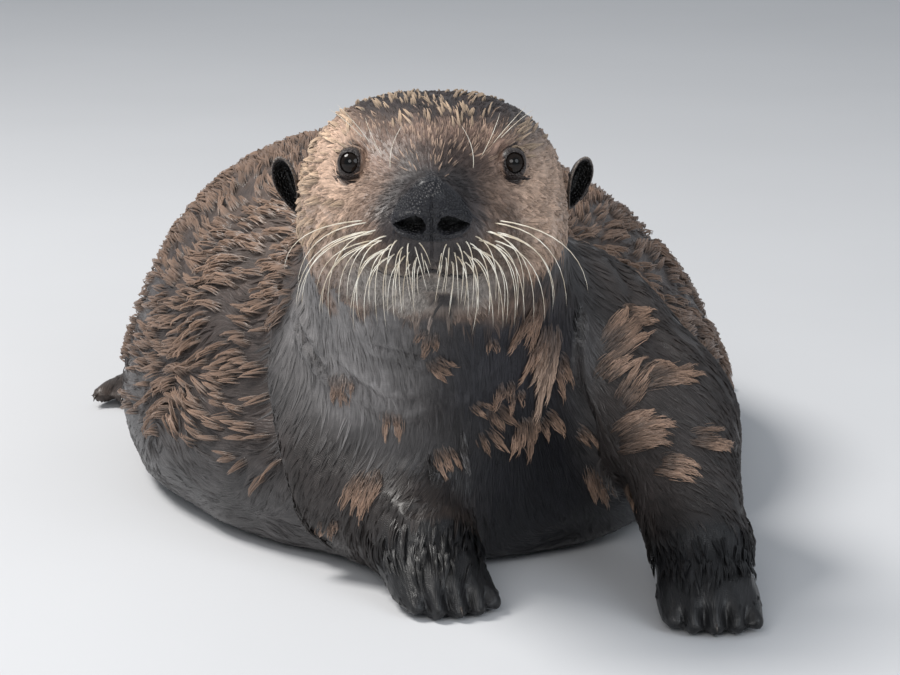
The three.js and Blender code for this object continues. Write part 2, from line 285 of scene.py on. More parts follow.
def region_weights(mesh):
    """How much each vertex belongs to each region, softly blended across the borders."""
    points, owners = [], []
    triangles = []
    for index, region in enumerate(REGION_NAMES):
        for node in REGIONS[region]["nodes"]:
            bm = swollen_node(node, 0)
            bmesh.ops.triangulate(bm, faces=bm.faces)
            start = len(points)
            points += [vert.co.copy() for vert in bm.verts]
            triangles += [[start + v.index for v in face.verts] for face in bm.faces]
            owners += [index] * len(bm.faces)
            bm.free()
    tree = BVHTree.FromPolygons(points, triangles, all_triangles=True)
    weights = np.zeros((len(mesh.vertices), len(REGION_NAMES)))
    for i, vert in enumerate(mesh.vertices):
        weights[i, owners[tree.find_nearest(vert.co)[2]]] = 1
    return diffuse(weights, edges_of(mesh), BORDER_ROUNDS)


def smooth_by_region(mesh, weights):
    """Rounds off the facets, more on the trunk than on the head and feet."""
    edges = edges_of(mesh)
    rounds = weights @ region_table("rounds")
    points = points_of(mesh)
    step = 5
    for done in range(0, int(rounds.max()), step):
        points = diffuse(points, edges, step, 0.5 * np.clip((rounds - done) / step, 0, 1))
    write_points(mesh, points)


def sink_under_coat(mesh, weights):
    """Moves the skin in by the coat's depth, but less round the eyes and where the body presses down."""
    points = points_of(mesh)
    to_eye = np.min([np.linalg.norm(points - middle(eye), axis=1) for eye in EYES], axis=0)
    round_eye = smooth_step(34 * MM, 16 * MM, to_eye)
    depth = (weights @ region_table("depth")) * (1 - 0.75 * round_eye) + SWELL
    normals = normals_of(mesh)
    pressed = smooth_step(-0.55, -0.95, normals[:, 2]) * smooth_step(30 * MM, 5 * MM, points[:, 2])
    depth = depth * (1 - 0.85 * pressed)
    points = points - normals * depth[:, None]
    points = diffuse(points, edges_of(mesh), 2)
    points[:, 2] = np.maximum(points[:, 2], FLOOR_CLEARANCE)
    write_points(mesh, points)


def save_weights(mesh, weights):
    for index, name in enumerate(REGION_NAMES):
        layer = mesh.attributes.new("region_" + name, "FLOAT", "POINT")
        layer.data.foreach_set("value", weights[:, index].astype(np.float32))


def load_weights(mesh):
    return {name: read(mesh.attributes["region_" + name].data, "value", 1) for name in REGION_NAMES}


def move_weight(mesh, sources, target, share):
    """Hands a share of the coat of some regions over to another."""
    weights = load_weights(mesh)
    for name in sources:
        weights[target] = weights[target] + weights[name] * share
        weights[name] = weights[name] * (1 - share)
    for name in (*sources, target):
        mesh.attributes["region_" + name].data.foreach_set("value", weights[name].astype(np.float32))


def refine(mesh, near):
    """Cuts the faces whose vertices `near` picks into four, and rounds the new surface."""
    chosen = near(points_of(mesh))
    bm = bmesh.new()
    bm.from_mesh(mesh)
    bm.verts.ensure_lookup_table()
    edges = [e for e in bm.edges if chosen[e.verts[0].index] and chosen[e.verts[1].index]]
    bmesh.ops.subdivide_edges(bm, edges=edges, cuts=1, use_grid_fill=True)
    bm.to_mesh(mesh)
    bm.free()
    inside = near(points_of(mesh)).astype(float)
    write_points(mesh, diffuse(points_of(mesh), edges_of(mesh), 3, 0.5 * inside))


def near_box(node, margin):
    """A test for points in a node's box or less than the margin outside it."""
    low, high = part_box(node)
    low = np.array(low) - margin
    high = np.array(high) + margin
    return lambda points: ((points > low) & (points < high)).all(1)


def any_of(*tests):
    return lambda points: np.logical_or.reduce([test(points) for test in tests])


def near_point(centre, radius):
    return lambda points: np.linalg.norm(points - centre, axis=1) < radius


def near_path(path, radius):
    return lambda points: distance_to_path(points, path, radius)[0] < radius


# -------------------------------- sculpting the skin

CURVE_STEPS = 8  # straight stretches from each point of a path to the next

# The left eye looks outward, forward and slightly up
EYE_LOOK = unit(np.array((0.24, -0.93, 0.27)))
# Half width and half height of an outline round the eye, as shares of its size
LID_SHAPE = (0.90, 1.10)  # the lids' opening
LID_RING = (0.74, 1.44)  # the dark ring round it, broader over and under the eye than beside it
UPPER_LID = 0.86  # share of its half height that an outline keeps over the eye's middle
LID_THICKNESS = 1.0 * MM

# Bare leather of the nose: heights above the floor, and half its width there
NOSE_LEATHER = np.array(((218, 6), (221, 15), (225, 20), (230, 21.5),
                         (236, 18.5), (242, 14), (248, 8), (252, 2))) * MM
NOSE_DEPTH = 26 * MM  # how far behind its tip the nose is sculpted and bare
# One nostril: distance from the middle of the septum and the heights of its lower and upper edges
NOSTRIL = np.array(((3.2, 224.6, 227.2), (5, 223.0, 230.4), (8, 222.6, 231.4), (12, 223.1, 230.2),
                    (16, 224.2, 228.4), (19.6, 226.2, 226.9))) * MM
NOSTRIL_DEPTH = 9 * MM

# Closed mouth: distances from the face's middle plane, and heights
MOUTH = np.array(((0, 201), (7, 198.5), (14, 196.5), (24, 197), (34, 200), (43, 204))) * MM


def side_of(node):
    """1 for a node on the otter's left, -1 for one on its right."""
    return 1.0 if middle(node)[0] > FACE_X else -1.0


def eye_axes(node):
    """The eye's centre and the directions it looks, sideways and up."""
    look = EYE_LOOK * np.array((side_of(node), 1, 1))
    sideways = unit(np.cross(np.array((0.0, 0.0, 1.0)), look))
    return middle(node), look, sideways, np.cross(look, sideways)


class Clay:
    """The skin's points and normals while features are pressed into it and raised from it."""

    def __init__(self, mesh):
        self.mesh = mesh
        self.points = points_of(mesh)
        self.normals = normals_of(mesh)

    def raise_by(self, amount):
        self.points += self.normals * amount[:, None]

    def settle(self):
        """Writes the points to the mesh, and takes up the normals of the new shape."""
        write_points(self.mesh, self.points)
        self.points = points_of(self.mesh)
        self.normals = normals_of(self.mesh)

    def lump(self, centre, radius, height):
        """Raises a rounded lump, or presses a dent where the height is less than 0."""
        away = np.linalg.norm((self.points - np.array(centre)) / radius, axis=1)
        self.raise_by(height * hump(away, 1))

    def search_tree(self):
        polygons = [polygon.vertices[:] for polygon in self.mesh.polygons]
        return BVHTree.FromPolygons(self.points.tolist(), polygons)

    def on_face(self, path):
        """Points of the skin straight behind places given as (X from the middle plane, height)."""
        tree = self.search_tree()
        hits = [hit_from_front(tree, FACE_X + x, z)[0] for x, z in path]
        return np.array([hit for hit in hits if hit is not None])

    def crease(self, path, width, depth, lip=0.0):
        """Presses a groove along a path, with soft lips beside it. Its ends fade out."""
        away, along = distance_to_path(self.points, path, width * 5)
        ends = smooth_step(0, 0.16, along) * smooth_step(1, 0.84, along)
        groove = depth * hump(away, width)
        beside = lip * hump(away - width * 1.5, width)
        self.raise_by((beside - groove) * ends)

    def overlap(self, path, top, step):
        """Raises the skin on the side of `top` over the skin beyond the path, as one roll over another."""
        tree = self.search_tree()
        path = np.array([tree.find_nearest(place)[0] for place in path.tolist()])
        away, along = distance_to_path(self.points, path, 60 * MM)
        curve = spline(path, CURVE_STEPS)
        last = len(curve) - 1
        stretch = (along * last).astype(int)
        nearest = curve[np.clip(stretch, 0, last)]
        ahead = curve[np.clip(stretch + 1, 0, last)]
        rel = np.cross(ahead - nearest + 1e-9, self.normals)
        towards = (rel * (self.points - nearest)).sum(1) * (rel * (top - nearest)).sum(1)
        on_top = np.where(towards > 0, 1.0, -1.0) * smooth_step(0, 3 * MM, away)
        ends = smooth_step(0, 0.14, along) * smooth_step(1, 0.86, along)
        high = step * 0.7 * np.exp(-((away / (26 * MM)) ** 2)) * (on_top > 0)
        low = step * np.exp(-away / (17 * MM)) * (on_top <= 0)
        self.raise_by((high * on_top - low) * ends)


def distance_to_path(points, path, reach):
    """Distance of each point to a smooth path and the place along it, from 0 to 1."""
    path = spline(path, CURVE_STEPS)
    away = np.full(len(points), 1.0)
    along = np.zeros(len(points))
    near = np.flatnonzero(((points > path.min(0) - reach) & (points < path.max(0) + reach)).all(1))
    for k in range(len(path) - 1):
        start, step = path[k], path[k + 1] - path[k]
        rel = points[near] - start
        t = np.clip(rel @ step / (step @ step), 0, 1)
        distance = np.linalg.norm(rel - t[:, None] * step, axis=1)
        closer = distance < away[near]
        away[near[closer]] = distance[closer]
        along[near[closer]] = (k + t[closer]) / (len(path) - 1)
    return away, along


def spline(points, steps):
    """A smooth curve through the points (Catmull-Rom)."""
    p = np.asarray(points, float)
    p = np.vstack([2 * p[0] - p[1], p, 2 * p[-1] - p[-2]])
    t = np.linspace(0, 1, steps, endpoint=False)[:, None]
    pieces = []
    for a, b, c, d in zip(p, p[1:], p[2:], p[3:]):
        pieces.append(0.5 * (2 * b + (c - a) * t + (2 * a - 5 * b + 4 * c - d) * t**2
                             + (3 * b - a - 3 * c + d) * t**3))
    return np.vstack([*pieces, p[-2:-1]])


def lid_distance(points, eye, shape=LID_SHAPE):
    """Distance from the eye's line of sight, measured so that an outline of that shape is a circle."""
    centre, look, sideways, up = eye_axes(eye)
    rel = points - centre
    tall = np.where(rel @ up > 0, shape[1] * UPPER_LID, shape[1])
    away = np.hypot(rel @ sideways / shape[0], rel @ up / tall)
    return np.where(rel @ look > -8 * MM, away, 1.0)


def sculpt_lids(clay, eye):
    """Folds the skin round the eyeball: a rolled rim, a crease above it and fine wrinkles below."""
    opening = bpy.context.scene.otter_sizes.lid_opening
    centre, look, sideways, up = eye_axes(eye)
    rel = clay.points - centre
    out, a, b = rel @ look, rel @ sideways, rel @ up
    rho = lid_distance(clay.points, eye)
    near = rho < 19 * MM

    pull = hump(rho - opening, 1.1 * MM) * 0.75
    closer = rho + (opening - rho) * pull
    scale = np.where(near, closer / np.maximum(rho, 1e-9), 1.0)
    a, b = a * scale, b * scale
    lid = np.sqrt(np.maximum((EYE_RADIUS + LID_THICKNESS) ** 2 - a**2 - b**2, 0))
    inside = smooth_step(opening - 0.9 * MM, opening - 0.15 * MM, closer)
    outside = smooth_step(7.2 * MM, 12.5 * MM, closer)
    shaped = (1 - outside) * lid + outside * out
    shaped = inside * shaped + (1 - inside) * 1.0 * MM
    moved = centre + shaped[:, None] * look + a[:, None] * sideways + b[:, None] * up
    clay.points[near] = moved[near]
    clay.settle()

    height = b / np.maximum(np.hypot(a, b), 1e-9)
    above = smooth_step(0.1, 0.6, height) * near
    clay.raise_by(-0.8 * MM * above * hump(rho - 10.2 * MM, 1.2 * MM))
    clay.raise_by(0.8 * MM * above * hump(rho - 13.0 * MM, 2.4 * MM))
    below = smooth_step(0.1, -0.5, height) * near
    for ring, depth in ((10.0, 0.6), (12.4, 0.6), (15.0, 0.5), (17.0, 0.3)):
        clay.raise_by(-depth * MM * below * hump(rho - ring * MM, 0.8 * MM))
    clay.settle()


def mouth_distance(points):
    """Height above or below the closed mouth, for points on the front of the face, and far elsewhere."""
    across = np.abs(points[:, 0] - FACE_X)
    away = np.abs(points[:, 2] - np.interp(across, MOUTH[:, 0], MOUTH[:, 1]))
    return np.where((across < 40 * MM) & (points[:, 1] < FACE_FRONT), away, 1.0)


def middle_of_mouth(points):
    """1 at the middle of the mouth, fading out towards its corners."""
    return smooth_step(30 * MM, 14 * MM, np.abs(points[:, 0] - FACE_X))


def front_of_nose(points):
    """True for points no further behind the tip of the nose than its sculpted part."""
    return points[:, 1] < NOSE_TIP_Y + NOSE_DEPTH


def beside_leather(points):
    """Distance sideways from the edge of the nose leather, less than 0 on the leather."""
    half = np.interp(points[:, 2], NOSE_LEATHER[:, 0], NOSE_LEATHER[:, 1], left=0, right=0)
    return np.abs(points[:, 0] - FACE_X) - half


def nostril_share(points):
    """1 inside a nostril's outline, seen from the front, and 0 outside it."""
    across = np.abs(points[:, 0] - FACE_X)
    low = np.interp(across, NOSTRIL[:, 0], NOSTRIL[:, 1])
    high = np.interp(across, NOSTRIL[:, 0], NOSTRIL[:, 2])
    half = np.maximum((high - low) / 2, 0.3 * MM)
    away = np.abs(points[:, 2] - (low + high) / 2) / half
    ends = smooth_step(NOSTRIL[0, 0] - 0.4 * MM, NOSTRIL[0, 0] + 0.8 * MM, across)
    ends = ends * smooth_step(NOSTRIL[-1, 0] + 0.3 * MM, NOSTRIL[-1, 0] - 1.2 * MM, across)
    return smooth_step(1.2, 0.8, away) * ends * front_of_nose(points)


def sculpt_nose(clay):
    """Leather pad with a middle groove and two comma-shaped nostrils under soft wings."""
    x = clay.points[:, 0] - FACE_X
    z = clay.points[:, 2]
    front = front_of_nose(clay.points)
    pad = smooth_step(3 * MM, -2 * MM, beside_leather(clay.points)) * front
    clay.raise_by(0.6 * MM * pad)
    clay.lump((FACE_X, NOSE_TIP_Y + 6 * MM, 240 * MM), np.array((12, 12, 9)) * MM, 1.2 * MM)

    groove = hump(x, 1.1 * MM) * smooth_step(246 * MM, 236 * MM, z)
    groove = groove * smooth_step(200 * MM, 206 * MM, z) * front
    clay.raise_by(-1.1 * MM * groove)
    clay.settle()

    along = np.interp(np.abs(x), NOSTRIL[:, 0], NOSTRIL[:, 2])
    wing = hump(z - along - 2.2 * MM, 2.4 * MM) * smooth_step(21 * MM, 15 * MM, np.abs(x)) * front
    clay.raise_by(1.3 * MM * wing * smooth_step(1.5 * MM, 4 * MM, np.abs(x)))
    below = np.interp(np.abs(x), NOSTRIL[:, 0], NOSTRIL[:, 1])
    sill = hump(z - below + 1.5 * MM, 1.6 * MM) * smooth_step(21 * MM, 16 * MM, np.abs(x)) * front
    clay.raise_by(0.8 * MM * sill)
    clay.settle()
    hole = nostril_share(clay.points)
    clay.points[:, 1] += NOSTRIL_DEPTH * hole
    clay.points[:, 2] += 2.0 * MM * hole
    clay.settle()


def sculpt_mouth(clay):
    """Whisker pads, the closed lips under them and the chin."""
    for side in (-1, 1):
        clay.lump((FACE_X + side * 17 * MM, -337 * MM, 211 * MM), np.array((15, 14, 11)) * MM, 2.6 * MM)
        clay.lump((FACE_X + side * 30 * MM, -322 * MM, 213 * MM), np.array((14, 16, 12)) * MM, 1.2 * MM)
    clay.lump((FACE_X, -326 * MM, 190 * MM), np.array((15, 14, 7)) * MM, 1.8 * MM)
    clay.settle()
    left_half = [(x, z) for x, z in MOUTH]
    line = clay.on_face([(-x, z) for x, z in left_half[:0:-1]] + left_half)
    clay.crease(line, 1.5 * MM, 2.2 * MM, 0.5 * MM)
    clay.settle()


# Wrinkles of loose skin from under the eye to the cheek: distances from the middle plane and heights in mm
CHEEK_WRINKLES = (
    ((31, 240), (39, 230), (49, 225), (58, 229), (63, 240)),
    ((28, 236), (37, 224), (49, 218), (60, 222), (67, 234)),
    ((26, 231), (35, 218), (48, 211), (61, 214), (70, 226)),
    ((24, 226), (34, 211), (48, 203), (62, 206), (72, 217)),
)


def sculpt_wrinkles(clay):
    """Presses the wrinkles into both cheeks, deeper on the otter's left."""
    for side, depth in ((1, 1.0), (-1, 0.55)):
        for path in CHEEK_WRINKLES:
            line = clay.on_face([(side * x * MM, z * MM) for x, z in path])
            clay.crease(line, 1.5 * MM, 1.1 * depth * MM, 0.7 * depth * MM)
    clay.settle()


def sculpt_face(mesh):
    """Hollows beside the nose, brows over the eyes, then the nose, mouth, wrinkles and lids."""
    clay = Clay(mesh)
    for side in (-1, 1):
        clay.lump((FACE_X + side * 27 * MM, -306 * MM, 236 * MM), np.array((11, 14, 9)) * MM, -1.5 * MM)
        clay.lump((FACE_X + side * 33 * MM, -274 * MM, 264 * MM), np.array((16, 14, 9)) * MM, 1.6 * MM)
    clay.settle()
    sculpt_nose(clay)
    sculpt_mouth(clay)
    sculpt_wrinkles(clay)
    for eye in EYES:
        sculpt_lids(clay, eye)


# Folds of loose skin, in mm: the path over the body, the width, the depth and the height of the lips
FOLDS = (
    (((-83, -190, 146), (-78, -204, 133), (-72, -213, 122), (-66, -218, 112)), 3.4, 3.6, 1.8),
    (((-92, -178, 158), (-88, -196, 144), (-84, -206, 128), (-80, -212, 110)), 4, 3.0, 1.6),
    (((-46, -250, 146), (-34, -257, 142), (-20, -259, 138), (-8, -258, 134)), 3.4, 2.4, 1.4),
    (((-62, -222, 128), (-50, -236, 112), (-30, -246, 104), (-12, -248, 108)), 6, 3.4, 2.0),
    (((92, -128, 170), (104, -170, 152), (118, -200, 130), (140, -212, 112)), 7, 2.4, 1.2),
    (((-70, -228, 66), (-52, -246, 62), (-32, -258, 58), (-14, -262, 50)), 4.5, 3.6, 2.0),
)
# Where one roll of the body lies over another, in mm: the path, a place on the upper roll, and the step down
OVERLAPS = (
    (((-74, -150, 205), (-76, -160, 175), (-86, -165, 150), (-98, -168, 128),
      (-100, -176, 100), (-93, -192, 74), (-80, -206, 46), (-62, -208, 12)), (-50, -240, 110), 15),
    (((72, -190, 156), (72, -206, 120), (84, -208, 84), (95, -196, 48)), (125, -200, 120), 5),
)


def sculpt_folds(mesh):
    clay = Clay(mesh)
    for path, width, depth, lip in FOLDS:
        clay.crease(np.array(path) * MM, width * MM, depth * MM, lip * MM)
        clay.settle()
    for path, top, step in OVERLAPS:
        clay.overlap(np.array(path) * MM, np.array(top) * MM, step * MM)
        clay.settle()


# Rows of toes: their number, the foot's width, how much wider it is at the toes and how far they reach; how
# far the outer toes fall back and one side leads; the gaps' depth, where they begin along the foot, and the
# height at which they end
FORE_TOES = dict(count=5, width=46 * MM, fan=1 * MM, length=36 * MM, bow=0.36, slant=0.06, gap=4.2 * MM,
                 cleft=(0.62, 0.9), top=19 * MM)
HIND_TOES = dict(count=5, width=62 * MM, fan=8 * MM, length=88 * MM, bow=0.12, slant=0.2, gap=3.4 * MM,
                 cleft=(0.05, 0.6), top=80 * MM)
# Feet: the middle of the sole in metres, and the way the toes point in degrees from -Y towards +X
FEET = {
    "forepaw_left": dict(sole=(0.139, -0.292), heading=4, mirror=1, **FORE_TOES),
    "forepaw_right": dict(sole=(-0.007, -0.265), heading=20, mirror=1, **FORE_TOES),
    "hindfoot_left": dict(sole=(0.122, 0.292), heading=20, mirror=1, **HIND_TOES),
    "hindfoot_right": dict(sole=(-0.174, 0.248), heading=-18, mirror=-1, **HIND_TOES),
}


def foot_axes(foot):
    """The middle of a foot's sole, and the directions forward and to the otter's left."""
    angle = math.radians(foot["heading"])
    forward = np.array((math.sin(angle), -math.cos(angle), 0))
    leftward = np.array((math.cos(angle), math.sin(angle), 0))
    return np.array((*foot["sole"], 0)), forward, leftward


def toe_tip(foot, place):
    """Where a toe ends on the floor; place runs from -1 on the otter's right to 1."""
    sole, forward, leftward = foot_axes(foot)
    reach = foot["length"] * (1 - foot["bow"] * place**2 + foot["mirror"] * foot["slant"] * place)
    return sole + leftward * place * (foot["width"] / 2 + foot["fan"]) + forward * reach


def sculpt_toes(mesh):
    """Presses the gaps between the toes into each foot and raises the knuckles."""
    clay = Clay(mesh)
    for name, foot in FEET.items():
        near = near_box(name, 6 * MM)(clay.points)
        sole, forward, leftward = foot_axes(foot)
        rel = clay.points - sole
        t = rel @ forward / foot["length"]
        half = foot["width"] / 2 + foot["fan"] * np.clip(t, 0, 1)
        number = (rel @ leftward / half + 1) / 2 * (foot["count"] - 1)
        off = np.abs(number - np.clip(np.round(number), 0, foot["count"] - 1))
        gap = np.clip(off * 2, 0, 1) ** 2.2 * (off < 0.5)
        height = clay.points[:, 2]
        shown = smooth_step(*foot["cleft"], t) * near * smooth_step(0.9 * MM, 3 * MM, height)
        shown = shown * smooth_step(foot["top"], 0.55 * foot["top"], height)
        clay.raise_by(-foot["gap"] * gap * shown)
        pad = hump(off, 0.42) * hump(t - 0.86, 0.26) * near * smooth_step(1 * MM, 4 * MM, clay.points[:, 2])
        clay.raise_by(0.5 * foot["gap"] * pad)
        knuckle = hump(off, 0.35) * hump(t - 0.42, 0.22) * near
        clay.raise_by(0.22 * foot["gap"] * knuckle * smooth_step(0.2, 0.8, clay.normals[:, 2]))
        clay.settle()


EAR_SIDES = 28
# Rings of an ear, from its back over the rim into the hollow: share of the full size, depth in mm and colour
EAR_RINGS = (
    (0.35, -11, "wet_grey"), (0.62, -9.5, "wet_grey"), (0.86, -6.4, "rim"), (0.98, -3, "rim"),
    (1.03, -0.8, "ear_rim"), (1.0, 0.4, "ear_rim"), (0.92, 0.5, "rim"), (0.84, -0.8, "nostril"),
    (0.72, -3.4, "nostril"), (0.52, -6, "nostril"), (0.25, -7.6, "nostril"),
)


def ear_shell(ear):
    """Points and faces of an ear: a rolled leaf, open to the front, narrow at its wrinkled base."""
    side = side_of(ear)
    around, centre = EAR_SIDES, middle(ear)
    upward = unit(np.array((side * 0.34, 0.10, 1.0)))
    opening = unit(np.array((side * 0.30, -1.0, 0.05)))
    opening = unit(opening - upward * (opening @ upward))
    across = np.cross(upward, opening)
    half_height = span(ear)[2] * 0.5
    half_width = half_height * 0.5
    points = []
    for scale, depth, _ in EAR_RINGS:
        for k in range(around):
            angle = 2 * math.pi * k / around
            high = math.cos(angle)
            narrow = 0.74 + 0.3 * high - 0.1 * high**2
            wrinkle = 1 + 0.05 * math.cos(angle * 9) * smooth_step(-0.2, -0.8, high)
            curl = 2.2 * MM * (math.sin(angle) ** 2) * scale
            offset = across * math.sin(angle) * half_width * narrow * scale * wrinkle
            offset = offset + upward * high * half_height * scale + opening * (depth * MM + curl)
            points.append(centre + offset)
    faces = ring_faces(len(EAR_RINGS), around)
    faces.append(tuple(range(around))[::-1])
    faces.append(tuple(range(len(points) - around, len(points))))
    return points, faces


def ear_colours(count):
    """A dark back, a paler rim and a hollow painted black as shade, for `count` points of the ears."""
    one_ear = np.repeat([colour_of(name) for _, _, name in EAR_RINGS], EAR_SIDES, axis=0)
    return np.tile(one_ear, (count // len(one_ear), 1))


def add_ears(mesh):
    """Joins the ears to the skin, as shells whose backs run into the head."""
    bm = bmesh.new()
    bm.from_mesh(mesh)
    for ear in EARS:
        points, faces = ear_shell(ear)
        verts = [bm.verts.new(p) for p in points]
        made = [bm.faces.new([verts[i] for i in face]) for face in faces]
        bmesh.ops.recalc_face_normals(bm, faces=made)
    bm.to_mesh(mesh)
    bm.free()


# -------------------------------- the lie of the coat

# Where the fur parts on the face, and from where it lies outward
FACE_PARTING = np.array((FACE_X, -0.338, 0.246))
BETWEEN_ARMS = 50 * MM  # X of a plane between the two forelegs
NOISE_WAVES = 12


def noise_of(points, scale, seed):
    """Smooth random numbers of about -1 to 1 over space, made of a few waves."""
    rng = np.random.default_rng(seed)
    total = np.zeros(len(points))
    for _ in range(NOISE_WAVES):
        wave = rng.normal(size=3) / scale
        total += np.sin(points @ wave + rng.random() * 2 * math.pi)
    return total / 3


def combing(points, weights):
    """The way the fur lies at each point, before it is pressed onto the skin."""
    x = points[:, 0] - FACE_X
    stray = np.stack([noise_of(points, 16 * MM, seed) for seed in (11, 12, 13)], axis=1)
    side = np.sign(x)
    one = np.ones(len(points))
    head = unit(points - FACE_PARTING) * (1, 1, 1.5)
    throat = np.stack([0.25 * x / (100 * MM), 0.25 * one, -one], axis=1)
    trunk = np.stack([0.5 * side * smooth_step(0, 60 * MM, np.abs(x)), one, -0.2 * one], axis=1)
    left = points[:, 0] > BETWEEN_ARMS
    arm = np.where(left[:, None], (0.75, -0.25, -0.62), (-0.55, -0.35, -0.75))
    forward = np.stack([0 * x, -one, -0.35 * one], axis=1)
    thigh = np.stack([0.3 * side, 0.35 * one, -one], axis=1)
    kinds = {"face": head, "head": head, "throat": throat, "trunk": trunk, "tail": trunk, "arm": arm,
             "paw": forward, "thigh": thigh, "flipper": forward}
    strays = (weights["trunk"] * 0.5 + weights["throat"] * 0.12
              + weights["head"] * 0.15 + weights["thigh"] * 0.3)
    return sum(weights[name][:, None] * unit(kinds[name]) for name in REGION_NAMES) + stray * strays[:, None]


def lie_of_coat(mesh):
    """Unit vectors along the skin, one per vertex, that the fur follows."""
    points, normals, edges = points_of(mesh), normals_of(mesh), edges_of(mesh)
    lie = combing(points, load_weights(mesh))
    for _ in range(4):
        lie = lie - normals * (lie * normals).sum(1, keepdims=True)
        lie = diffuse(unit(lie), edges, 5)
    lie = lie - normals * (lie * normals).sum(1, keepdims=True)
    return unit(lie)


# -------------------------------- colours and sizes

def colour_property(name, description, default):
    return FloatVectorProperty(name=name, description=description, default=default, size=3, min=0, max=1,
                               subtype="COLOR")


def length_property(name, description, default, low, high):
    """A length that the user may change. The numbers are in mm."""
    return FloatProperty(name=name, description=description, default=default * MM, min=low * MM,
                         max=high * MM, unit="LENGTH", precision=5)


class OtterColours(bpy.types.PropertyGroup):
    """Colours of the coat and the bare skin, and of the eyes, whiskers and claws, among them painted shade
    and painted sheen.
    """

    wet: colour_property("Wet fur", "Dark wet fur over most of the body", (0.029, 0.023, 0.021))
    # Painted shade: the blue of deep shade on the wet chest, on the otter's left
    wet_blue_shade: colour_property("Bluish wet fur", "Wettest fur of the chest", (0.024, 0.024, 0.029))
    wet_grey: colour_property("Grey wet fur", "Smooth fur of the throat and belly", (0.052, 0.048, 0.048))
    # Sheen is painted reflection: the sky's shine on wet fur, laid into the colour
    sheen: colour_property("Sheen", "Sleek fur that shines on the otter's breast", (0.19, 0.180, 0.178))
    # Painted shade under the chest between the forelegs, over the dark wet fur there
    wet_and_deep_shade: colour_property("Deep fur", "Almost black fur between the forelegs", (0.005, 0.005, 0.007))
    tan: colour_property("Tan tufts", "Dry tips of the tufts on the back and flanks", (0.42, 0.272, 0.192))
    cream: colour_property("Cream streaks", "Pale streaks of the crown and cheek", (0.80, 0.595, 0.415))
    buff: colour_property("Buff cheek", "Light fur of the cheeks", (0.62, 0.435, 0.325))
    fawn: colour_property("Fawn head", "Brown fur of the whole head", (0.215, 0.147, 0.112))
    russet: colour_property("Russet brow", "Reddish fur of the forehead", (0.25, 0.160, 0.122))
    crown: colour_property("Dark crown", "Dark wet fur on top of the head", (0.036, 0.027, 0.026))
    bridge: colour_property("Bridge", "Dark fur between the eyes", (0.036, 0.026, 0.024))
    dome: colour_property("Dome", "Dark short fur round the nose", (0.036, 0.031, 0.032))
    pad: colour_property("Whisker pad", "Short fur of the whisker pads", (0.18, 0.137, 0.105))
    chin: colour_property("Chin", "Pale grey chin", (0.30, 0.275, 0.25))
    leather: colour_property("Nose leather", "Bare skin of the nose", (0.018, 0.018, 0.023))
    # Painted shade: black inside the deep nostrils and the ear hollows
    nostril: colour_property("Hollows", "Inside of the nostrils and ears", (0.001, 0.001, 0.001))
    rim: colour_property("Lids", "Bare skin round the eyes and back of the ears", (0.026, 0.022, 0.023))
    ear_rim: colour_property("Ear rim", "Pale edge of the ears", (0.20, 0.17, 0.15))
    lip: colour_property("Lips", "Edges of the closed mouth", (0.020, 0.017, 0.017))
    flank: colour_property("Flank fur", "Brown wet fur under the tufts of the flanks", (0.052, 0.040, 0.036))
    paw: colour_property("Paws", "Black skin and fur of the forepaws", (0.009, 0.009, 0.010))
    flipper: colour_property("Flippers", "Dark fur of the webbed hind feet", (0.050, 0.037, 0.031))
    iris: colour_property("Iris", "Dark brown iris", (0.009, 0.0055, 0.004))
    whisker_dark: colour_property("Whisker bands", "Darker bands along the whiskers", (0.62, 0.53, 0.40))
    whisker_pale: colour_property("Whiskers", "Ivory of the whiskers", (0.92, 0.88, 0.78))
    claw_dark: colour_property("Dark horn", "Darkest grain of the claws", (0.020, 0.016, 0.014))
    claw_pale: colour_property("Pale horn", "Palest grain of the claws", (0.075, 0.060, 0.050))


def colour_of(name):
    return np.array(getattr(bpy.context.scene.otter_colours, name))


LONGEST_WHISKER = 56  # mm; the other whiskers are in proportion to it


class OtterSizes(bpy.types.PropertyGroup):
    """Sizes of the parts that are set on the skin."""

    coat_density: FloatProperty(
        name="Coat density", description="Share of the full number of locks", default=1.0, min=0.05, max=1.5,
        subtype="FACTOR")
    lock_length: FloatProperty(
        name="Lock length", description="Factor on the length of every lock", default=1.0, min=0.5, max=1.5,
        subtype="FACTOR")
    tuft_length: FloatProperty(
        name="Tuft length", description="Factor on the length of the single tufts of the chest and forelegs",
        default=1.15, min=0.3, max=1.5, subtype="FACTOR")
    lid_opening: length_property("Lid opening", "From the middle of the eye to the lids", 5.8, 4, 7.5)
    whisker_length: length_property(
        "Whisker length", "Length of the longest whiskers", LONGEST_WHISKER, 20, 90)
    whisker_radius: length_property(
        "Whisker radius", "Half the thickness of a whisker at its root", 0.44, 0.1, 1)
    fore_claw: length_property("Fore claw", "Length of the claws of the forepaws", 6, 2, 12)
    hind_claw: length_property("Hind claw", "Length of the claws of the hind feet", 5, 2, 12)


# -------------------------------- markings

def paint(colour, name, share):
    """Mixes one of the colours into an array of colours."""
    return colour + (colour_of(name) - colour) * np.clip(share, 0, 1)[:, None]


def blob(points, centre, radii, spread=0.35):
    """1 inside a patch with a soft edge, 0 outside it. The centre's X is counted from the face's middle."""
    centre = np.array(centre) * MM + (FACE_X, 0, 0)
    away = np.linalg.norm((points - centre) / (np.array(radii) * MM), axis=1)
    return smooth_step(1 + spread, 1 - spread, away)


# Edge of the sleek front of the body on the otter's right: heights, and the edge's X there
SLEEK_EDGE = np.array(((0, -62), (46, -82), (74, -95), (100, -102),
                       (128, -98), (150, -88), (175, -78), (240, -76))) * MM

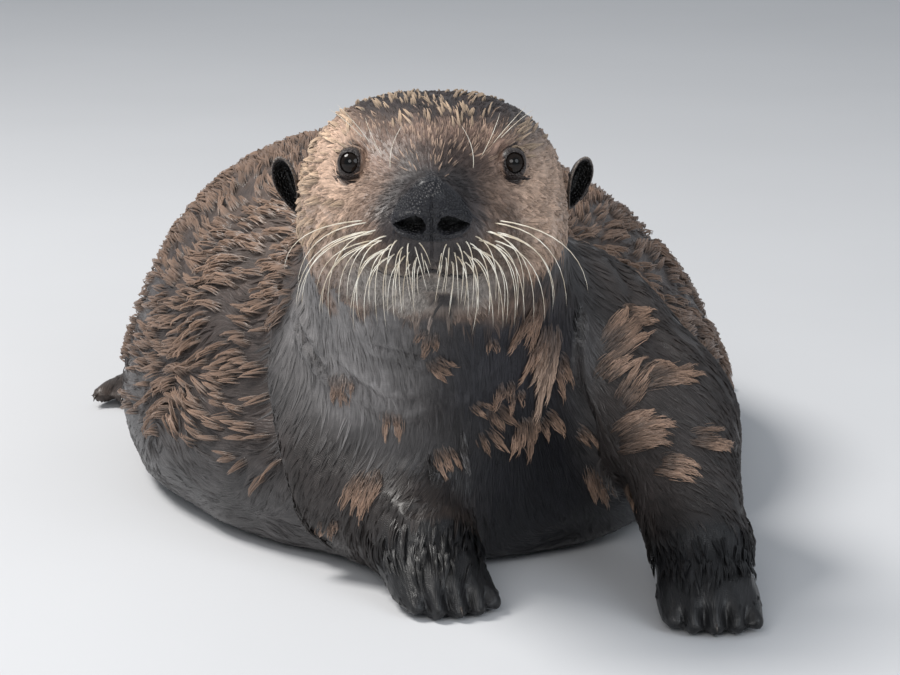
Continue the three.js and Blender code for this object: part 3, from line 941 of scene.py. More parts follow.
# Patches on the head, in the order of painting: colour, strength, centre, radii and softness of the edge
HEAD_PATCHES = (
    ("crown", 1.0, (6, -215, 292), (80, 94, 42), 0.3),
    # painted highlight of wet fur on the otter's left temple
    ("sheen", 0.5, (64, -250, 264), (20, 60, 22), 0.35),
    ("russet", 0.8, (0, -294, 257), (44, 32, 12), 0.35),
    ("russet", 0.8, (-58, -250, 252), (28, 60, 20), 0.35),
    ("buff", 0.85, (-60, -255, 230), (28, 70, 42), 0.35),
    ("buff", 0.65, (60, -255, 220), (24, 70, 38), 0.35),
    ("pad", 0.8, (0, -310, 203), (66, 40, 18), 0.35),
    ("chin", 0.9, (-8, -310, 182), (52, 50, 18), 0.35),
    ("bridge", 0.9, (4, -314, 252), (28, 40, 15), 0.45),
    ("dome", 0.95, (0, -338, 231), (30, 44, 25), 0.22),
    ("dome", 0.8, (0, -340, 211), (24, 24, 10), 0.4),
)


def markings(points, weights):
    """Colour of the wet coat, the same for the skin and the locks that grow from it, with painted shade on
    the chest and between the forelegs and painted sheen on the breast, along the edge of the sleek front and
    on the otter's left temple.
    """
    z = points[:, 2]
    throat, trunk = weights["throat"], weights["trunk"]
    colour = np.tile(colour_of("wet"), (len(points), 1))
    colour = paint(colour, "wet_grey", throat + 0.2 * weights["arm"])
    # Painted sheen: the sky's reflection on the wet breast, as a lighter grey
    colour = paint(colour, "sheen", throat * blob(points, (-48, -235, 140), (36, 100, 64), 0.6))
    # Painted blue shade on the wet chest, on the otter's left
    colour = paint(colour, "wet_blue_shade", 0.9 * throat * blob(points, (44, -235, 135), (40, 90, 48), 0.4))
    # Painted shade between the forelegs, under the chest, over dark wet fur
    colour = paint(colour, "wet_and_deep_shade", (throat + trunk) * blob(points, (62, -200, 50), (76, 90, 54), 0.4))
    colour = paint(colour, "wet_grey", trunk * smooth_step(75 * MM, 45 * MM, z))
    colour = paint(colour, "flank", trunk * smooth_step(40 * MM, 80 * MM, z))
    colour = paint(colour, "tan", 0.10 * trunk * smooth_step(110 * MM, 190 * MM, z))
    # Painted rim highlight: a strip of sheen just inside the edge of the sleek front on the otter's right,
    # where the lit roll stands over the flank
    inside = points[:, 0] - np.interp(z, SLEEK_EDGE[:, 0], SLEEK_EDGE[:, 1])
    edge = hump(inside - 6 * MM, 6 * MM) * smooth_step(12 * MM, 40 * MM, z)
    edge = edge * smooth_step(-120 * MM, -150 * MM, points[:, 1])
    colour = paint(colour, "sheen", 0.35 * throat * edge)
    colour = paint(colour, "tan", 0.35 * weights["paw"] * blob(points, (6, -262, 34), (26, 40, 16)))

    head = weights["head"] + weights["face"]
    colour = paint(colour, "fawn", head)
    for name, strength, centre, radii, softness in HEAD_PATCHES:
        colour = paint(colour, name, strength * head * blob(points, centre, radii, softness))
    lips = hump(mouth_distance(points), 2.4 * MM)
    colour = paint(colour, "lip", 0.95 * head * lips * middle_of_mouth(points))
    for eye in EYES:
        ring = smooth_step(9.6 * MM, 7.8 * MM, lid_distance(points, eye, LID_RING))
        colour = paint(colour, "rim", 0.95 * ring)
    colour = paint(colour, "paw", weights["paw"] * 1.4)
    colour = paint(colour, "flipper", weights["flipper"])
    mottle = 1 + 0.14 * noise_of(points, 7 * MM, 21) + 0.12 * noise_of(points, 2.5 * MM, 22)
    return colour * np.clip(mottle, 0.5, 1.5)[:, None]


def bare_share(points):
    """1 on skin without fur: the nose, the lips and the rims of the lids."""
    bare = smooth_step(2.5 * MM, -2.5 * MM, beside_leather(points)) * front_of_nose(points)
    bare = np.maximum(bare, 0.9 * hump(mouth_distance(points), 1.8 * MM))
    for eye in EYES:
        bare = np.maximum(bare, smooth_step(8.0 * MM, 6.9 * MM, lid_distance(points, eye)))
    return bare


def below_jaw(points):
    """1 under the edge of the head's brown fur, which runs from the chin up to behind the ears."""
    rise = 58 * MM * smooth_step(-260 * MM, -190 * MM, points[:, 1])
    edge = 170 * MM + rise + 9 * MM * noise_of(points, 9 * MM, 33)
    return smooth_step(edge + 10 * MM, edge - 10 * MM, points[:, 2])


def drier_share(points):
    """1 on the flanks and back, behind the sleek wet front of the body."""
    edge = np.interp(points[:, 2], SLEEK_EDGE[:, 0], SLEEK_EDGE[:, 1])
    right = smooth_step(0, 7 * MM, edge - points[:, 0]) * smooth_step(-215 * MM, -200 * MM, points[:, 1])
    left = smooth_step(62 * MM, 80 * MM, points[:, 0]) * smooth_step(-120 * MM, -100 * MM, points[:, 1])
    back = smooth_step(-125 * MM, -105 * MM, points[:, 1])
    return np.maximum(np.maximum(right, left), back)


EARS_BARE = 0.97  # share of leather on the ears


def mark_skin(mesh, ear_start):
    """Stores what the materials and the coat read from the skin: weights, lie, colour and bare leather.

    The ears are the vertices from `ear_start` on.
    """
    for name in REGION_NAMES:
        layer = mesh.attributes["region_" + name]
        values = read(layer.data, "value", 1)
        values[ear_start:] = name == "head"
        layer.data.foreach_set("value", values)
    points = points_of(mesh)
    move_weight(mesh, ("head", "face"), "throat", below_jaw(points))
    move_weight(mesh, ("throat", "arm"), "trunk", drier_share(points))
    lie = lie_of_coat(mesh)
    move_weight(mesh, ("trunk",), "throat", smooth_step(58 * MM, 36 * MM, points[:, 2]))
    bare = bare_share(points)
    bare[ear_start:] = EARS_BARE
    colour = markings(points, load_weights(mesh))
    x = points[:, 0] - FACE_X
    leather = smooth_step(0.2, 0.9, bare) * (np.abs(x) < 30 * MM) * (points[:, 1] < FACE_FRONT)
    colour = paint(colour, "leather", leather)
    # Painted shade: black inside the nostrils
    colour = paint(colour, "nostril", smooth_step(0.15, 0.6, nostril_share(points - (0, 0, 0.5 * MM))))
    colour[ear_start:] = ear_colours(len(points) - ear_start)
    tint = mesh.color_attributes.new("tint", "FLOAT_COLOR", "POINT")
    colour = np.column_stack([colour, np.ones(len(points))])
    tint.data.foreach_set("color", colour.astype(np.float32).ravel())
    layer = mesh.attributes.new("bare", "FLOAT", "POINT")
    layer.data.foreach_set("value", bare.astype(np.float32))
    layer = mesh.attributes.new("lie", "FLOAT_VECTOR", "POINT")
    layer.data.foreach_set("vector", lie.astype(np.float32).ravel())


# -------------------------------- locks of fur

UNWRAP_VOXEL = 10 * MM
PATCH = 0.0014  # half the side of a lock's patch of the UV map
UV_MARGIN = 0.003  # least distance of a patch's middle from the map's edge


def unwrapped_copy(mesh):
    """A coarse copy of the skin, unwrapped: a search tree, its triangles and points, and their UVs."""
    copy = remeshed(mesh.copy(), UNWRAP_VOXEL)
    obj = new_object("unwrap", copy)
    bpy.context.view_layer.objects.active = obj
    obj.select_set(True)
    bpy.ops.object.mode_set(mode="EDIT")
    bpy.ops.mesh.select_all(action="SELECT")
    bpy.ops.uv.smart_project(angle_limit=math.radians(66), island_margin=0.004)
    bpy.ops.object.mode_set(mode="OBJECT")
    copy.calc_loop_triangles()
    points = points_of(copy)
    triangles = read(copy.loop_triangles, "vertices", 3, np.int32)
    loops = read(copy.loop_triangles, "loops", 3, np.int32)
    flat = read(copy.uv_layers.active.data, "uv", 2).astype(float)[loops]
    tree = BVHTree.FromPolygons(points.tolist(), triangles.tolist(), all_triangles=True)
    bpy.data.objects.remove(obj)
    return tree, triangles, points, flat


class Pelt:
    """The skin as arrays, for growing locks on."""

    def __init__(self, skin):
        mesh = skin.data
        mesh.calc_loop_triangles()
        self.points = points_of(mesh)
        self.normals = normals_of(mesh)
        self.lie = read(mesh.attributes["lie"].data, "vector", 3).astype(float)
        self.weights = load_weights(mesh)
        self.colours = read(mesh.attributes["tint"].data, "color", 4)[:, :3].astype(float)
        self.bare = read(mesh.attributes["bare"].data, "value", 1)
        self.triangles = read(mesh.loop_triangles, "vertices", 3, np.int32)
        a, b, c = (self.points[self.triangles[:, k]] for k in range(3))
        self.areas = np.linalg.norm(np.cross(b - a, c - a), axis=1) / 2
        self.tree = KDTree(len(self.points))
        for i, point in enumerate(self.points):
            self.tree.insert(point, i)
        self.tree.balance()
        self.unwrap = unwrapped_copy(mesh)

    def region(self, *names):
        return sum(self.weights[name] for name in names)

    def place_on_unwrap(self, roots):
        """Where each root lies on the unwrapped skin, kept far enough inside for its patch."""
        tree, triangles, corners, flat = self.unwrap
        hit = np.array([tree.find_nearest(root)[2] for root in roots.tolist()])
        a, b, c = (corners[triangles[hit, k]] for k in range(3))
        ab, ac, ap = b - a, c - a, roots - a
        d00, d01, d11 = (ab * ab).sum(1), (ab * ac).sum(1), (ac * ac).sum(1)
        d20, d21 = (ap * ab).sum(1), (ap * ac).sum(1)
        scale = np.maximum(d00 * d11 - d01 * d01, 1e-18)
        v = np.clip((d11 * d20 - d01 * d21) / scale, 0, 1)
        w = np.clip((d00 * d21 - d01 * d20) / scale, 0, 1 - v)
        fa, fb, fc = (flat[hit, k] for k in range(3))
        spot = fa * (1 - v - w)[:, None] + fb * v[:, None] + fc * w[:, None]
        return np.clip(spot, UV_MARGIN, 1 - UV_MARGIN)

    def sow(self, rng, per_square_metre):
        """Places and nearest vertices of random roots, as dense as the number given at each vertex."""
        density = per_square_metre * (1 - self.bare)
        expected = self.areas * density[self.triangles].mean(1)
        total = int(expected.sum())
        chosen = np.searchsorted(np.cumsum(expected), rng.random(total) * expected.sum())
        chosen = self.triangles[np.minimum(chosen, len(self.triangles) - 1)]
        r1, r2 = np.sqrt(rng.random((2, total)))
        share = np.stack([1 - r1, r1 * (1 - r2**2), r1 * r2**2], axis=1)
        roots = (self.points[chosen] * share[:, :, None]).sum(1)
        return roots, chosen[np.arange(total), share.argmax(1)]

    def nearest(self, places):
        """The vertex of the skin that is nearest to each place."""
        find = self.tree.find
        return np.fromiter((find(place)[1] for place in places), np.int64, len(places))

    def settle(self, places, near, height):
        """Moves places to a height over the skin at their nearest vertices."""
        normals = self.normals[near]
        above = ((places - self.points[near]) * normals).sum(1)
        return places + normals * (height - above)[:, None]

    def trace(self, roots, near, length, steps, turn):
        """Paths along the lie of the coat: places and nearest vertices at each step."""
        places, nears = [self.settle(roots, near, 0)], [near]
        way = self.lie[near]
        sideways = np.cross(self.normals[near], way)
        way = unit(way + sideways * turn[:, None])
        for _ in range(steps):
            place = places[-1] + way * (length / steps)[:, None]
            near = self.nearest(place)
            places.append(self.settle(place, near, 0))
            nears.append(near)
            way = unit(way + 0.5 * self.lie[near])
            normals = self.normals[near]
            way = unit(way - normals * (way * normals).sum(1, keepdims=True))
        return places, nears


# Places along a lock where it has a ring of three points, and its share of the full width there; the last
# point is the tip
SHORT_LOCK = ((0.0, 0.75), (0.5, 1.0))
LONG_LOCK = ((0.0, 0.6), (0.32, 1.0), (0.7, 0.72))
LOWEST_LOCK = 0.2 * MM  # least height of a lock over the floor
LOCK_SHEEN = 0.5  # how far the shading of a lock's edges is turned away from its ridge


def lock_mesh(name, pelt, locks):
    """One mesh of thin closed locks, each a flat-bottomed strand that narrows to a point.

    `locks` holds arrays with a row for each lock: its places and nearest vertices along the way, its width
    and thickness, root and tip colours, its UV, and `stray`, a random number for its fine lines. `lift` has
    a row for each ring and one for the tip, and `fade` says how early the tip's colour comes in.
    """
    places, nears, shape = locks["places"], locks["nears"], locks["shape"]
    rings = len(shape)
    steps, count = places.shape[1] - 1, len(places)
    centres, skin_normals = [], []
    for station, s in enumerate([place for place, _ in shape] + [1.0]):
        k = min(int(s * steps), steps - 1)
        t = s * steps - k
        normal = pelt.normals[nears[:, k if t < 0.5 else k + 1]]
        lift = locks["lift"][station][:, None]
        centres.append(places[:, k] * (1 - t) + places[:, k + 1] * t + normal * lift)
        skin_normals.append(normal)
    points, shading = [], []
    for ring, (_, share) in enumerate(shape):
        along = unit(centres[ring + 1] - centres[ring])
        across = unit(np.cross(along, skin_normals[ring]))
        outward = unit(np.cross(across, along))
        half = across * (locks["width"] * share / 2)[:, None]
        ridge = outward * (locks["thickness"] * share)[:, None]
        points += [centres[ring] + half, centres[ring] - half, centres[ring] + ridge]
        shading += [unit(outward + across * LOCK_SHEEN), unit(outward - across * LOCK_SHEEN), outward]
    points.append(centres[-1])
    shading.append(skin_normals[-1])
    points = np.stack(points, axis=1)
    points[:, :, 2] = np.maximum(points[:, :, 2], LOWEST_LOCK)
    tip = 3 * rings

    quads = ring_faces(rings, 3)
    ends = [(tip - 3, tip - 2, tip), (tip - 2, tip - 1, tip), (tip - 1, tip - 3, tip), (2, 1, 0)]
    corners = np.array([i for quad in quads for i in quad] + [i for end in ends for i in end])
    loops = (np.arange(count)[:, None] * (tip + 1) + corners[None]).ravel()
    sizes = np.tile([4] * len(quads) + [3] * len(ends), count)
    mesh = bpy.data.meshes.new(name)
    mesh.vertices.add(count * (tip + 1))
    mesh.vertices.foreach_set("co", points.astype(np.float32).ravel())
    mesh.loops.add(len(loops))
    mesh.loops.foreach_set("vertex_index", loops.astype(np.int32))
    mesh.polygons.add(len(sizes))
    starts = np.concatenate([[0], np.cumsum(sizes)[:-1]])
    mesh.polygons.foreach_set("loop_start", starts.astype(np.int32))
    mesh.update(calc_edges=True)
    mesh.shade_smooth()
    shading = np.stack(shading, axis=1).reshape(-1, 3)
    mesh.normals_split_custom_set_from_vertices(shading.astype(np.float32))

    along = np.append(np.repeat([place for place, _ in shape], 3), 1.0)
    across = np.array([-1, 1, 0] * rings + [0.0])
    root, end = locks["root_colour"], locks["tip_colour"]
    mixed = root[:, None] + (end - root)[:, None] * (along ** locks["fade"])[None, :, None]
    mixed = np.concatenate([mixed, np.ones((count, tip + 1, 1))], axis=2)
    tint = mesh.color_attributes.new("tint", "FLOAT_COLOR", "POINT")
    tint.data.foreach_set("color", mixed.astype(np.float32).ravel())
    strand = np.empty((count, tip + 1, 3), np.float32)
    strand[:, :, 0] = across * (locks["width"] / MM)[:, None]
    strand[:, :, 1] = along
    strand[:, :, 2] = locks["stray"][:, None]
    layer = mesh.attributes.new("strand", "FLOAT_VECTOR", "POINT")
    layer.data.foreach_set("vector", strand.ravel())

    patch = np.stack([across * PATCH, along * 2 * PATCH - PATCH], axis=1)
    uvs = locks["uv"][:, None] + patch[None, corners]
    mesh.uv_layers.new(name="OFBake").data.foreach_set("uv", uvs.astype(np.float32).ravel())
    return mesh


# -------------------------------- materials

def node(tree, kind, links=None, **settings):
    """Adds a shader node. Settings are its properties; links fill its inputs with values or sockets."""
    made = tree.nodes.new("ShaderNode" + kind)
    for key, value in settings.items():
        setattr(made, key, value)
    for key, value in (links or {}).items():
        if isinstance(value, bpy.types.NodeSocket):
            tree.links.new(value, made.inputs[key])
        else:
            made.inputs[key].default_value = value
    return made


def math_node(tree, operation, *values):
    return node(tree, "Math", dict(enumerate(values)), operation=operation).outputs[0]


def remap(tree, value, low, high, to_low, to_high):
    """A value carried over from one range to another, and held inside it."""
    links = {"Value": value, "From Min": low, "From Max": high, "To Min": to_low, "To Max": to_high}
    return node(tree, "MapRange", links).outputs[0]


def shader_material(name, settings):
    """A new material whose Principled shader has these constant values."""
    material = bpy.data.materials.new(name)
    material.use_nodes = True
    tree = material.node_tree
    shader = tree.nodes["Principled BSDF"]
    for key, value in settings.items():
        shader.inputs[key].default_value = value
    return material, tree, shader


def attribute(tree, name):
    return node(tree, "Attribute", attribute_name=name)


def shaded(tree, colour, factor):
    """The colour made lighter or darker by a factor."""
    return node(tree, "VectorMath", {0: colour, 1: factor}, operation="MULTIPLY").outputs[0]


def between(tree, factor, first, second):
    """A colour between two of the user's colours."""
    links = {"Factor": factor, "A": (*colour_of(first), 1), "B": (*colour_of(second), 1)}
    return node(tree, "Mix", links, data_type="RGBA").outputs["Result"]


def spatial_noise(tree, scale, detail):
    place = node(tree, "NewGeometry").outputs["Position"]
    return node(tree, "TexNoise", {"Vector": place, "Scale": scale, "Detail": detail}).outputs[0]


def streaks(tree, scale, reach, samples):
    """Fine lines along the lie of the coat: noise averaged along it."""
    lie = attribute(tree, "lie").outputs["Vector"]
    place = node(tree, "NewGeometry").outputs["Position"]
    total = None
    for k in range(samples):
        step = (k / (samples - 1) - 0.5) * 2 * reach
        links = {0: lie, 1: (step,) * 3, 2: place}
        moved = node(tree, "VectorMath", links, operation="MULTIPLY_ADD").outputs[0]
        noise = node(tree, "TexNoise", {"Vector": moved, "Scale": scale, "Detail": 1.0}).outputs[0]
        total = noise if total is None else math_node(tree, "ADD", total, noise)
    return math_node(tree, "DIVIDE", total, float(samples))


HAIR_RELIEF = 0.33 * MM  # depth of the fine lines of the flat fur
PEBBLE_RELIEF = 1.2 * MM  # depth of the pebbled leather


def skin_material():
    """Short wet fur that lies flat, and bare leather on the nose, lids and in the ears."""
    material, tree, shader = shader_material("wet_pelt", {
        "Specular IOR Level": 0.36, "Coat Weight": 0.16, "Coat Roughness": 0.22})
    tint = attribute(tree, "tint").outputs["Color"]
    bare = attribute(tree, "bare").outputs["Fac"]
    place = node(tree, "NewGeometry").outputs["Position"]
    hair = streaks(tree, scale=900, reach=3.2 * MM, samples=7)
    hair = remap(tree, hair, 0.40, 0.60, 0.0, 1.0)
    wide = node(tree, "TexNoise", {"Vector": place, "Scale": 60, "Detail": 4.0}).outputs[0]
    pebble = node(tree, "TexVoronoi", {"Vector": place, "Scale": 620, "Randomness": 0.9}).outputs["Distance"]
    pebble = remap(tree, pebble, 0.1, 0.7, 1.0, 0.0)
    relief = node(tree, "Mix", {0: bare, 2: hair, 3: pebble}).outputs[0]
    fine_tone = remap(tree, relief, 0, 1, 0.62, 1.3)
    wide_tone = remap(tree, wide, 0.3, 0.7, 0.78, 1.18)
    tone = math_node(tree, "MULTIPLY", fine_tone, wide_tone)
    tree.links.new(shaded(tree, tint, tone), shader.inputs["Base Color"])
    rough = remap(tree, math_node(tree, "MULTIPLY", relief, wide), 0.1, 0.6, 0.5, 0.33)
    tree.links.new(rough, shader.inputs["Roughness"])
    depth = remap(tree, bare, 0, 1, HAIR_RELIEF, PEBBLE_RELIEF)
    bump = node(tree, "Bump", {"Strength": 1.0, "Distance": depth, "Height": relief})
    tree.links.new(bump.outputs[0], shader.inputs["Normal"])
    return material


def lock_material(name, gloss, roughness):
    """Guard hair: fine lines along each lock, in tones that the locks carry."""
    material, tree, shader = shader_material(name, {
        "Specular IOR Level": 0.36, "Coat Weight": gloss, "Coat Roughness": 0.2})
    tint = attribute(tree, "tint").outputs["Color"]
    strand = attribute(tree, "strand").outputs["Vector"]
    links = {0: strand, 1: (2.6, 0.7, 1.0)}
    fine = node(tree, "VectorMath", links, operation="MULTIPLY").outputs[0]
    lines = node(tree, "TexNoise", {"Vector": fine, "Scale": 2.2, "Detail": 3.0}).outputs[0]
    tone = remap(tree, lines, 0.3, 0.7, 0.66, 1.32)
    tree.links.new(shaded(tree, tint, tone), shader.inputs["Base Color"])
    rough = remap(tree, lines, 0.3, 0.7, roughness + 0.1, roughness - 0.1)
    tree.links.new(rough, shader.inputs["Roughness"])
    bump = node(tree, "Bump", {"Strength": 0.5, "Distance": 0.3 * MM, "Height": lines})
    tree.links.new(bump.outputs[0], shader.inputs["Normal"])
    return material


# -------------------------------- the skin

def build_skin():
    """The skin, in place of all flesh and ear nodes of the frame."""
    mesh = joined_flesh(SWELL)
    mesh = remeshed(mesh, SKIN_VOXEL)
    keep_largest_shell(mesh)
    weights = region_weights(mesh)
    smooth_by_region(mesh, weights)
    sink_under_coat(mesh, weights)
    save_weights(mesh, weights)

    # Three rounds of finer mesh: face, feet and rolls; then muzzle, eyes and forepaws; then nose and lids
    face = np.array((FACE_X, -0.300, 0.228))
    eyes = [near_point(middle(eye), 22 * MM) for eye in EYES]
    feet = [near_box(name, 8 * MM) for name in FEET]
    rolls = [near_path(np.array(path) * MM, 14 * MM) for path, _, _ in OVERLAPS]
    refine(mesh, any_of(near_point(face, 72 * MM), *feet, *rolls))
    fore = [near_box(name, 4 * MM) for name in FORE_PAWS]
    refine(mesh, any_of(near_point(face - (0, 0.032, 0.006), 46 * MM), *eyes, *fore))
    eyes = [near_point(middle(eye), 13 * MM) for eye in EYES]
    refine(mesh, any_of(near_point(NOSE - (0, 0.004, 0.004), 28 * MM), *eyes))

    sculpt_folds(mesh)
    sculpt_face(mesh)
    sculpt_toes(mesh)
    ear_start = len(mesh.vertices)
    add_ears(mesh)
    mark_skin(mesh, ear_start)
    mesh.materials.append(skin_material())
    mesh.name = "skin"
    skin = new_object("skin", mesh)
    mesh.shade_smooth()
    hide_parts(*FLESH, *EARS)
    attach(skin, "root")


# -------------------------------- families of the coat

def tufted_trunk(points):
    """Tufts cover the back and thin out in groups down the flanks."""
    z = points[:, 2]
    groups = smooth_step(-0.75, -0.05, noise_of(points, 7 * MM, 31))
    groups = groups + (1 - groups) * smooth_step(130 * MM, 200 * MM, z)
    return groups * smooth_step(34 * MM, 80 * MM, z)


def sleek_trunk(points):
    """Flat locks on the trunk, fewer on the back, where tufts cover them."""
    return 1 - 0.5 * smooth_step(120 * MM, 160 * MM, points[:, 2])


def crown_streaks(points):
    """Pale streaks in groups on top of the head."""
    forward = smooth_step(-305 * MM, -285 * MM, points[:, 1])
    groups = smooth_step(-0.3, 0.5, noise_of(points, 7 * MM, 32))
    return groups * forward * smooth_step(242 * MM, 260 * MM, points[:, 2])


def brow_streaks(points):
    """Thin streaks in groups over the brow, and none on the nose."""
    across = np.abs(points[:, 0] - FACE_X)
    groups = smooth_step(-0.5, 0.3, noise_of(points, 5 * MM, 34))
    front = smooth_step(-255 * MM, -275 * MM, points[:, 1]) * smooth_step(52 * MM, 40 * MM, across)
    above_nose = smooth_step(248 * MM, 254 * MM, points[:, 2])
    return groups * front * above_nose * hump(points[:, 2] - 262 * MM, 16 * MM)


def off_eyes(points):
    """0 round the eyes and 1 away from them."""
    away = np.min([lid_distance(points, eye) for eye in EYES], axis=0)
    return smooth_step(13 * MM, 17 * MM, away)


def left_cheek(points):
    """The cheek that is on the left when the otter is seen from the front."""
    x, z = points[:, 0] - FACE_X, points[:, 2]
    return smooth_step(-34 * MM, -48 * MM, x) * off_eyes(points) * smooth_step(196 * MM, 214 * MM, z)


def right_cheek(points):
    x, z = points[:, 0] - FACE_X, points[:, 2]
    return smooth_step(38 * MM, 54 * MM, x) * off_eyes(points) * smooth_step(190 * MM, 210 * MM, z)


def over_wrists(points):
    """A band round the forelegs, just over the paws."""
    return smooth_step(50 * MM, 44 * MM, points[:, 2]) * smooth_step(23 * MM, 28 * MM, points[:, 2])


# Families of locks: the regions they are on and where in them, guides to a square metre, locks to a guide.
# length, spread, width, thickness and lift, the heights at the rings and at the tip, are in mm. tones are
# factors on the colour at the root and at the tip
HEAD_COAT = {
    "face": dict(slot="face_coat", on=("face",), guides=200000, children=3, length=(4, 7),
                 spread=0.9, width=0.5, thickness=0.25, lift=(-0.3, 0.4, 0.12), shape=SHORT_LOCK,
                 tones=(0.52, 1.44)),
    "head": dict(slot="head_coat", on=("head",), guides=66000, children=5, length=(7, 12),
                 spread=1.4, width=0.7, thickness=0.3, lift=(-0.5, 0.6, 0.15), shape=SHORT_LOCK,
                 tones=(0.60, 1.42)),
    "brow_streaks": dict(slot="face_coat", on=("face", "head"), where=brow_streaks, guides=110000,
                         children=3, length=(6, 12), spread=0.6, width=0.36, thickness=0.25,
                         lift=(-0.4, 0.5, 0.7, 0.3), shape=LONG_LOCK, tip="buff", tones=(0.35, 1.05),
                         fade=0.65),
    "crown_streaks": dict(slot="head_coat", on=("head",), where=crown_streaks, guides=30000, children=7,
                          length=(10, 24), spread=0.9, width=0.5, thickness=0.35, lift=(-0.6, 1.1, 1.6, 0.9),
                          shape=LONG_LOCK, tip="cream", tones=(0.45, 1.0), fade=0.6),
    "cheek_left": dict(slot="head_coat", on=("head",), where=left_cheek, guides=15000, children=12,
                       length=(14, 27), spread=1.5, width=0.6, thickness=0.45, lift=(-0.6, 1.5, 2.4, 1.5),
                       shape=LONG_LOCK, tip="cream", tones=(0.35, 1.25), fade=0.7),
    "cheek_right": dict(slot="head_coat", on=("head",), where=right_cheek, guides=12000, children=8,
                        length=(11, 19), spread=1.6, width=0.65, thickness=0.35, lift=(-0.6, 0.8, 1.1, 0.4),
                        shape=LONG_LOCK, tip="buff", tones=(0.7, 1.0), fade=0.7),
}
BODY_COAT = {
    "throat": dict(on=("throat",), guides=29000, children=5, length=(14, 26), spread=1.5,
                   width=0.56, thickness=0.2, lift=(-0.4, 0.32, 0.05), shape=SHORT_LOCK, tones=(0.92, 1.12)),
    "trunk": dict(on=("trunk",), where=sleek_trunk, guides=12000, children=5, length=(14, 24), spread=2.0,
                  width=0.9, thickness=0.35, lift=(-0.8, 1.1, 0.5), shape=SHORT_LOCK, tones=(0.85, 1.3)),
    "trunk_tufts": dict(on=("trunk",), where=tufted_trunk, guides=17500, children=9, length=(12, 23),
                        spread=2.4, width=0.8, thickness=0.5, lift=(-1.0, 3.2, 4.6, 3.0), shape=LONG_LOCK,
                        tip="tan", tones=(0.6, 1.05), fade=0.7),
}
LIMB_COAT = {
    "arm": dict(on=("arm",), guides=34000, children=5, length=(10, 16), spread=1.6,
                width=0.8, thickness=0.3, lift=(-0.5, 0.65, 0.2), shape=SHORT_LOCK, tones=(0.85, 1.2)),
    "wrist_fringe": dict(on=("arm", "paw"), where=over_wrists, guides=26000, children=8, length=(12, 20),
                         spread=1.5, width=0.75, thickness=0.4, lift=(-0.6, 1.6, 2.4, 2.0), shape=LONG_LOCK,
                         tones=(0.8, 1.15)),
    "paw": dict(slot="paw_skin", on=("paw",), guides=12000, children=4, length=(4, 7),
                spread=1.2, width=0.7, thickness=0.25, lift=(-0.4, 0.3, 0.1), shape=SHORT_LOCK,
                tones=(0.9, 1.2)),
    "thigh": dict(on=("thigh",), guides=11000, children=7, length=(13, 22), spread=2.2,
                  width=0.95, thickness=0.45, lift=(-0.6, 1.1, 1.6, 0.9), shape=LONG_LOCK, tones=(0.8, 1.4)),
    "flipper": dict(slot="flipper_skin", on=("flipper",), guides=12000, children=5,
                    length=(6, 11), spread=1.5, width=0.8, thickness=0.3, lift=(-0.4, 0.4, 0.1),
                    shape=SHORT_LOCK, tones=(0.85, 1.3)),
    "tail": dict(on=("tail",), guides=15000, children=6, length=(13, 22), spread=2.0,
                 width=0.9, thickness=0.4, lift=(-0.6, 0.9, 1.3, 0.6), shape=LONG_LOCK, tones=(0.8, 1.4)),
}
LOCKS_IN_PIECE = 12000  # the most locks in one piece of the coat


# Single tufts on the chest and arms: the root's X and height in mm, the way it points seen from the front in
# degrees from +X towards +Z, length and width in mm, and colour
TUFTS = (
    (84, 126, 40, 34, 14, "tan"), (92, 98, 45, 26, 9, "tan"), (90, 78, 25, 46, 14, "tan"),
    (130, 88, -5, 30, 8, "tan"), (111, 73, -12, 32, 9, "tan"), (98, 58, -60, 26, 9, "tan"),
    (94, 146, 12, 24, 7, "tan"), (104, 112, 28, 34, 11, "tan"), (82, 110, 52, 26, 9, "tan"),
    (80, 62, -72, 26, 9, "tan"), (50, 171, -84, 32, 12, "tan"), (31, 122, -82, 20, 6, "tan"),
    (-34, 106, -86, 20, 6, "tan"), (55, 154, -107, 34, 8, "tan"), (58, 150, -88, 44, 12, "buff"),
    (60, 130, -53, 27, 6, "tan"), (-10, 157, -100, 17, 8, "tan"), (-11, 138, -65, 18, 8, "tan"),
    (24, 150, -88, 14, 4, "tan"), (-61, 122, -92, 20, 11, "tan"), (12, 109, -50, 17, 5, "tan"),
    (22, 108, -60, 23, 6, "tan"), (17, 92, -57, 23, 6, "tan"), (42, 98, -72, 26, 11, "tan"),
    (51, 97, -45, 24, 7, "tan"), (37, 114, -80, 15, 5, "tan"), (-5, 83, -70, 19, 8, "tan"),
    (-44, 70, -95, 26, 14, "tan"), (-69, 38, -80, 13, 9, "tan"), (70, 84, -40, 22, 5, "tan"),
    # thin strands in the painted sheen colour, a painted highlight on wet hairs
    (-11, 78, -88, 26, 2, "sheen"), (7, 92, -86, 28, 2, "sheen"), (84, 70, -75, 24, 2, "sheen"),
)
TUFT_STEPS = 4  # stretches along each lock's path
TUFT_WIDTH = 1.25  # factor on the listed widths
TUFT_FILL = 0.62  # locks to a square mm of a flame
FEWEST_LOCKS = 12  # in a flame
HANGING = 3.2  # factor on how far the thin shining strands stand off the coat


